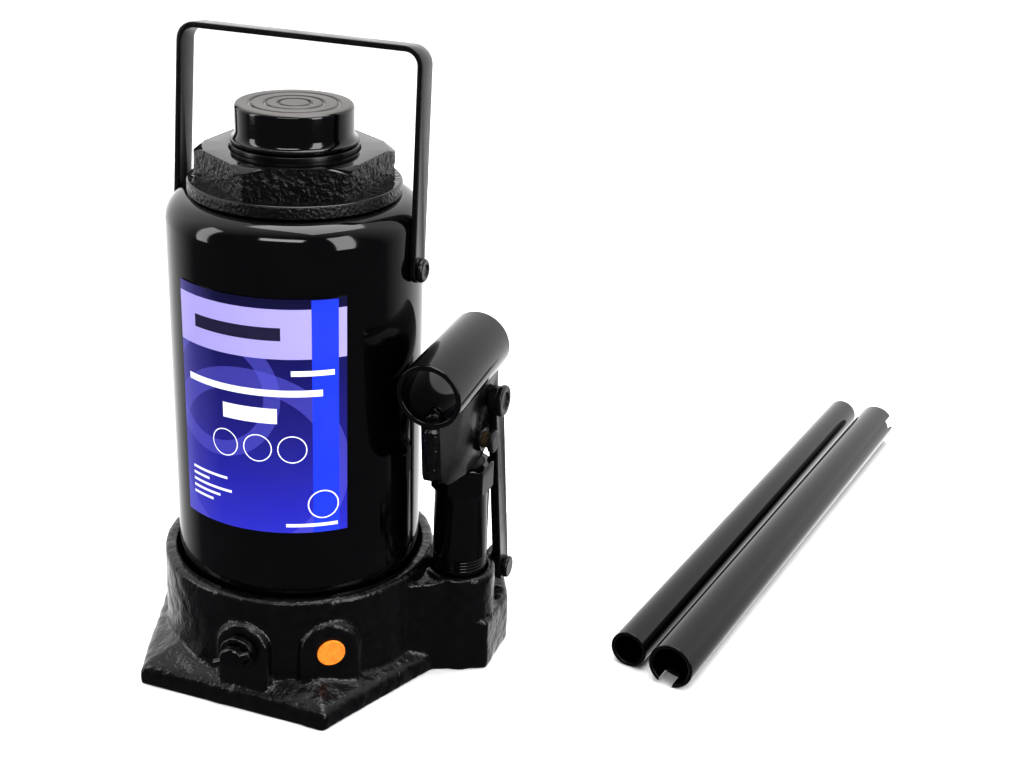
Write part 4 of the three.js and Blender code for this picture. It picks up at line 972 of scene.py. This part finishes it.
def headed_pin(name, node, radius, head_radius, dish, material):
    """A pin along X whose head is at its far end; the dish is how deep the head is hollowed."""
    low, high = node_box(node)
    centre = middle(node)
    under = high.x - PIN_HEAD
    points = [
        (0, low.x), (radius, low.x), (radius, under), (head_radius, under),
        (head_radius, high.x - 0.5), (head_radius - 0.6, high.x),
    ]
    if dish:
        points += [(0.62 * head_radius, high.x), (0.5 * head_radius, high.x - dish), (0, high.x - dish)]
    else:
        points += [(0.5 * head_radius, high.x), (0, high.x)]
    pin = across(turned(name, eased(points, 0.4), FINE))
    stand_for(place(pin, y=centre.y, z=centre.z), node, material)


def flat_ring(name, node, bore, material):
    low, high = node_box(node)
    centre = middle(node)
    outer = (high.z - low.z) / 2
    section = [(bore, low.x), (outer, low.x), (outer, high.x), (bore, high.x)]
    ring = across(turned(name, eased(section, 0.35, True), FINE, closed=True))
    stand_for(place(ring, y=centre.y, z=centre.z), node, material)


def bail_rivet(name, node, side, material):
    low, high = node_box(node)
    far = max(abs(low.x), abs(high.x))
    near = min(abs(low.x), abs(high.x))
    points = [(0, near), (3, near), (3, far - 2.2), (5.2, far - 2.2), (5.2, far - 1), (4.4, far),
              (2.9, far), (2.2, far - 0.7), (0, far - 0.7)]
    rivet = across(turned(name, eased(points, 0.5), FINE))
    if side < 0:
        place(rivet, turn=(0, 0, 180))
    stand_for(place(rivet, z=BAIL_PIVOT), node, material)


def pin_pieces(satin, greased):
    headed_pin("piston_pin_greased", "piston_pin", PIN_RADIUS, PIN_HEAD_RADIUS, 0, greased)
    headed_pin("fulcrum_pin_dished", "fulcrum_pin", FULCRUM_RADIUS, FULCRUM_HEAD_RADIUS, FULCRUM_DISH,
               satin)
    headed_pin("foot_pin_turned", "link_foot_pin", PIN_RADIUS, PIN_HEAD_RADIUS, 0, satin)
    flat_ring("piston_washer", "piston_pin_washer", PIN_HOLE, satin)
    flat_ring("piston_clip", "piston_pin_clip", PIN_HOLE, satin)
    flat_ring("fulcrum_clip", "fulcrum_pin_clip", FULCRUM_HOLE, satin)
    flat_ring("foot_clip", "link_foot_clip", PIN_HOLE, satin)
    bail_rivet("rivet_right_dished", "bail_rivet_right", 1, satin)
    bail_rivet("rivet_left_dished", "bail_rivet_left", -1, satin)


# ---------- lever ----------


def in_lever(piece):
    """Moves a piece drawn about the piston pin to where the lever is at rest."""
    return place(piece, PUMP.x, PISTON_PIN.y, PISTON_PIN.z, turn=(LEVER_TILT, 0, 0))


def socket_piece(material):
    section = [(SOCKET_BORE, 0), (SOCKET_RADIUS, 0)]
    section += [(SOCKET_RADIUS, SOCKET_FRONT + SOCKET_BACK), (SOCKET_BORE, SOCKET_FRONT + SOCKET_BACK)]
    tube = turned("socket_tube", eased(section, 0.8, True), 128, closed=True)
    place(tube, turn=(-90, 0, 0))
    place(tube, y=-SOCKET_FRONT, z=SOCKET_AXIS)
    stand_for(in_lever(tube), "handle_socket", material)


def bracket_plan():
    half = [(PINCH_HALF, -SOCKET_FRONT), (CHEEK_OUTER, PINCH_END), (CHEEK_OUTER, 23)]
    half += [(CHEEK_INNER, 23), (CHEEK_INNER, PINCH_END), (PINCH_HALF - 2.5, 4 - SOCKET_FRONT)]
    return half + [(-x, y) for x, y in reversed(half)]


def bracket_side():
    front = -SOCKET_FRONT
    nose = []
    for i in range(13):
        t = i / 12
        start, bend, end = Vector((front + 3, 2)), Vector((front + 3.6, -6)), Vector((front + 11, -7.5))
        nose.append(tuple((1 - t) ** 2 * start + 2 * t * (1 - t) * bend + t ** 2 * end))
    return [
        (front + 1.4, SOCKET_AXIS), *nose, (-2, -CHEEK_REACH), *arc(0, 0, CHEEK_REACH, -88, -20, 16),
        (22.5, 8), (22.5, SOCKET_AXIS),
    ]


def bracket_piece(material):
    bracket = slab("bracket_cheeks", bracket_plan(), -12, SOCKET_AXIS)
    combine(bracket, [side_plate("sides", bracket_side(), -20, 20)], "INTERSECT")
    bore = place(rod("bore", SOCKET_RADIUS + 0.05, -60, 60, 128), z=SOCKET_AXIS, turn=(90, 0, 0))
    fulcrum = place(across(rod("fulcrum_hole", 5.5, -20, 20)), y=13, z=13.6)
    pin_hole = across(rod("pin_hole", PIN_HOLE, -20, 20))
    combine(bracket, [bore, fulcrum, pin_hole], "DIFFERENCE")
    soften(bracket, 0.5)
    stand_for(in_lever(bracket), "lever_bracket", material)


def bead(name, start, end, start_radius, end_radius, lump):
    """A weld run from one point to another, rippled where each puddle froze."""
    start, end = Vector(start), Vector(end)
    length = (end - start).length
    steps = max(12, int(length / 0.35))
    along = (end - start).normalized()
    side = along.orthogonal().normalized()
    up = along.cross(side)
    bm = bmesh.new()
    rings = []
    for i in range(steps + 1):
        t = i / steps
        centre = start.lerp(end, t)
        taper = math.sqrt(max(0.02, 1 - (2 * t - 1) ** 10))
        ripple = 1 + 0.03 * math.sin(TAU * t * length / 1.9)
        radius = (start_radius + (end_radius - start_radius) * t) * taper * ripple
        ring = []
        for j in range(20):
            angle = TAU * j / 20
            out = side * math.cos(angle) + up * math.sin(angle)
            rough = grain(centre + out * radius, [(1.6, lump), (3.2, lump)])
            ring.append(bm.verts.new(centre + out * (radius + rough)))
        rings.append(ring)
    for low, high in zip(rings, rings[1:]):
        for j in range(20):
            k = (j + 1) % 20
            bm.faces.new((low[j], low[k], high[k], high[j]))
    bm.faces.new(rings[0])
    bm.faces.new(rings[-1])
    piece = make_piece(name, bm)
    shade(piece, 75)
    return piece


def weld_pieces(material):
    front = -SOCKET_FRONT
    runs = {
        "weld_front": ((0, front + 2.4, 24), (0, front + 4.6, -4), 4.4, 2.2, 0.45),
        "weld_right": ((7.6, -30, 25.6), (7.6, 17.5, 25.6), 1.1, 1.1, 0.15),
        "weld_left": ((-7.6, -30, 25.6), (-7.6, 17.5, 25.6), 1.1, 1.1, 0.15),
        "weld_in_mouth": ((0, front + 3, 26.2), (0, front + 11, 26.4), 2.6, 2.2, 0.8),
    }
    for name, run in runs.items():
        ride_with(in_lever(bead(name, *run)), "lever_bracket", material)


# ---------- links ----------


def link_pieces(material):
    rise, lean = FULCRUM.z - FOOT.z, FOOT.y - FULCRUM.y
    length = math.hypot(rise, lean)
    foot = arc(0, 0, LINK_EYE, -145, -35, 20)
    top = arc(0, length, LINK_EYE, -35, 215, 36)
    outline = [*foot, (LINK_HALF, 4), (LINK_HALF, length - 6), *top, (-LINK_HALF, length - 6)]
    outline.append((-LINK_HALF, 4))
    for name, node, x in (("link_bar_right", "link_right", LINK_INNER),
                          ("link_bar_left", "link_left", -LINK_OUTER)):
        bar = side_plate(name, outline, x, x + LINK_OUTER - LINK_INNER)
        eye = across(rod("eye", FULCRUM_HOLE, -20, 20))
        holes = [across(rod("hole", PIN_HOLE, -20, 20)), place(eye, z=length)]
        combine(bar, holes, "DIFFERENCE")
        soften(bar, 0.45)
        place(bar, PUMP.x, FOOT.y, FOOT.z, turn=(math.degrees(math.atan2(lean, rise)), 0, 0))
        stand_for(bar, node, material)


# ---------- carry handle ----------


def strap_line(inset):
    low, high = BAIL_HALF - inset, BAIL_HALF - BAIL_NARROWING - inset
    top, corner = BAIL_TOP - inset, BAIL_CORNER - inset
    right = [(low, BAIL_PIVOT - BAIL_STRAP), *arc(high - corner, top - corner, corner, 0, 90, 10)]
    return right + [(-x, z) for x, z in reversed(right)]


def bail_piece(material):
    outline = strap_line(0) + strap_line(BAIL_THICKNESS)[::-1]
    half = BAIL_STRAP / 2
    strap = place(slab("carry_strap", outline, -half, half), turn=(90, 0, 0))
    side = [(-half, BAIL_TOP + 2), *arc(0, BAIL_PIVOT, half, 180, 360, 28), (half, BAIL_TOP + 2)]
    combine(strap, [side_plate("ends", side, -80, 80)], "INTERSECT")
    hole = place(across(rod("hole", 3.3, -80, 80)), z=BAIL_PIVOT)
    combine(strap, [hole], "DIFFERENCE")
    soften(strap, 0.5)
    place(strap, z=-BAIL_PIVOT)
    place(strap, z=BAIL_PIVOT, turn=(-BAIL_LEAN, 0, 0))
    stand_for(strap, "carry_handle", material)


# ---------- loose handle tubes ----------


def tube_piece(name, node, notches, material):
    low, high = node_box(node)
    radius = high.z / 2
    turn = math.radians(TUBE_TURN)
    start = (low.x + radius * math.cos(turn), low.y + radius * math.sin(turn), radius)
    end = (high.x - radius * math.cos(turn), high.y - radius * math.sin(turn), radius)
    length = math.dist(start, end)
    bore = radius - TUBE_WALL
    section = eased([(bore, 0), (radius, 0), (radius, length), (bore, length)], 0.6, True)
    tube = turned(name, section, 96, closed=True)
    half = NOTCH_WIDTH / 2
    for angle, from_z, to_z in notches(length):
        notch = slab("notch", [(0, -half), (radius + 2, -half), (radius + 2, half), (0, half)], from_z, to_z)
        combine(tube, [place(notch, turn=(0, 0, angle))], "DIFFERENCE")
    place(tube, turn=(-90, 0, 0))
    place(tube, *start, turn=(0, 0, -TUBE_TURN))
    stand_for(tube, node, material)


def wide_notches(length):
    return [(100, -1, NOTCH_DEPTH), (-20, length - NOTCH_DEPTH, length + 1)]


# ---------- pieces inside, which keep their own meshes ----------


def inside_pieces(steel, rubber, brass):
    finishes = {"machined_steel": steel, "rubber": rubber, "brass": brass}
    for node, piece in frame["nodes"].items():
        if not piece.hide_render and SLOT_OF[node] in finishes:
            piece.data.materials.clear()
            piece.data.materials.append(finishes[SLOT_OF[node]])


# ---------- studio ----------

CAMERA_PLACE = Vector((294.1, -565.0, 403.0)) * MM
CAMERA_TURN = 19.22
CAMERA_DIP = 23.05
CAMERA_ROLL = 2.44
CAMERA_LENS = 55.0
SUBJECT = Vector((40, 40, 110)) * MM
WHITE_WALL = (-0.29, 0.84, 0.46)  # the way to the brightest part of the sky
# place, width and height in metres, then watts
SOFTBOXES = {
    "softbox_right": ((0.95, -0.35, 0.55), 0.35, 1.0, 9),
    "softbox_left": ((-0.9, -0.55, 0.5), 0.25, 1.0, 5),
    "softbox_front": ((0.2, -0.85, 1.0), 0.7, 0.2, 5),
    "softbox_top": ((0.1, 0.2, 1.3), 1.0, 0.8, 16),
}


def add_camera():
    data = bpy.data.cameras.new("camera")
    data.lens = CAMERA_LENS
    data.sensor_width = 36
    data.clip_start = 0.01
    data.clip_end = 100
    camera = bpy.data.objects.new("camera", data)
    bpy.context.scene.collection.objects.link(camera)
    turn = Matrix.Rotation(math.radians(CAMERA_TURN), 4, "Z")
    dip = Matrix.Rotation(math.radians(90 - CAMERA_DIP), 4, "X")
    roll = Matrix.Rotation(math.radians(CAMERA_ROLL), 4, "Z")
    camera.matrix_world = Matrix.Translation(CAMERA_PLACE) @ turn @ dip @ roll
    bpy.context.scene.camera = camera


def add_softbox(name, spot, width, height, watts):
    data = bpy.data.lights.new(name, "AREA")
    data.shape = "RECTANGLE"
    data.size = width
    data.size_y = height
    data.energy = watts
    light = bpy.data.objects.new(name, data)
    light.location = spot
    light.rotation_euler = (SUBJECT - Vector(spot)).to_track_quat("-Z", "Y").to_euler()
    bpy.context.scene.collection.objects.link(light)


def add_floor():
    bm = bmesh.new()
    bmesh.ops.create_grid(bm, x_segments=40, y_segments=40, size=30000)
    floor = make_piece("studio_floor", bm)
    material, tree, shader, spot = begin("matt_white_paper", Roughness=0.9)
    fibres = speckle(tree, spot, 300)
    tree.links.new(shade_between(tree, fibres, "#f4f4f4", "#f8f8f8"), shader.inputs["Base Color"])
    floor.data.materials.append(material)
    floor.visible_glossy = False  # a white floor would turn all the black gloss grey


def add_backdrop():
    """White paper round the floor. It lights nothing and shows in no gloss."""
    backdrop = turned("studio_backdrop", [(25000, -100), (25000, 20000), (0, 20000)])
    material, tree, shader, spot = begin("lit_white_paper", Roughness=1.0, Emission_Strength=1.0)
    fibres = speckle(tree, spot, 900)
    glow = shade_between(tree, fibres, "#fafafa", "#fdfdfd")
    tree.links.new(glow, shader.inputs["Emission Color"])
    backdrop.data.materials.append(material)
    backdrop.visible_glossy = False
    backdrop.visible_diffuse = False
    backdrop.visible_shadow = False


def add_sky():
    """White behind the object and overhead, dark in front, so that black gloss stays black."""
    world = bpy.data.worlds.new("studio")
    bpy.context.scene.world = world
    world.use_nodes = True
    tree = world.node_tree
    tree.nodes.clear()
    way = add_node(tree, "ShaderNodeTexCoord").outputs["Generated"]
    toward_white = {0: way, 1: WHITE_WALL}
    share = add_node(tree, "ShaderNodeVectorMath", toward_white, operation="DOT_PRODUCT")
    turn = {"Value": share.outputs["Value"], "From Min": -0.1, "From Max": 0.5}
    white = add_node(tree, "ShaderNodeMapRange", turn).outputs["Result"]
    ramp = add_node(tree, "ShaderNodeValToRGB", {"Fac": white})
    ramp.color_ramp.elements[0].color = (0.09, 0.09, 0.1, 1)
    ramp.color_ramp.elements[1].color = (1, 1, 1, 1)
    sky = add_node(tree, "ShaderNodeBackground", {"Color": ramp.outputs["Color"], "Strength": 1.6})
    add_node(tree, "ShaderNodeOutputWorld", {"Surface": sky.outputs["Background"]})


def build_studio():
    add_camera()
    add_floor()
    add_backdrop()
    add_sky()
    for name, softbox in SOFTBOXES.items():
        add_softbox(name, *softbox)
    bpy.context.scene.view_settings.view_transform = "Standard"
    bpy.context.scene.view_settings.gamma = 0.82


# ---------- build ----------


def build_jack():
    gloss, satin, cast = gloss_enamel(), satin_enamel(), cast_enamel()
    steel, rubber, brass = turned_steel(), nitrile_rubber(), turned_brass()
    label_piece(label_film())
    tank_piece(gloss)
    nut_piece(nut_enamel())
    wiper_piece(satin)
    filler_piece(rubber)
    saddle_piece(saddle_enamel())
    ram_piece(steel)
    base_piece(cast)
    release_pieces(cast, gloss)
    cap_piece(orange_plastic())
    pump_piece(gloss)
    piston_piece(steel)
    pin_pieces(satin, greasy_pin())
    socket_piece(gloss)
    bracket_piece(satin)
    weld_pieces(cast)
    link_pieces(satin)
    bail_piece(satin)
    tube_piece("tube_thin_drawn", "handle_tube_thin", lambda length: [], gloss)
    tube_piece("tube_wide_drawn", "handle_tube_wide", wide_notches, gloss)
    inside_pieces(steel, rubber, brass)


build_studio()
build_jack()
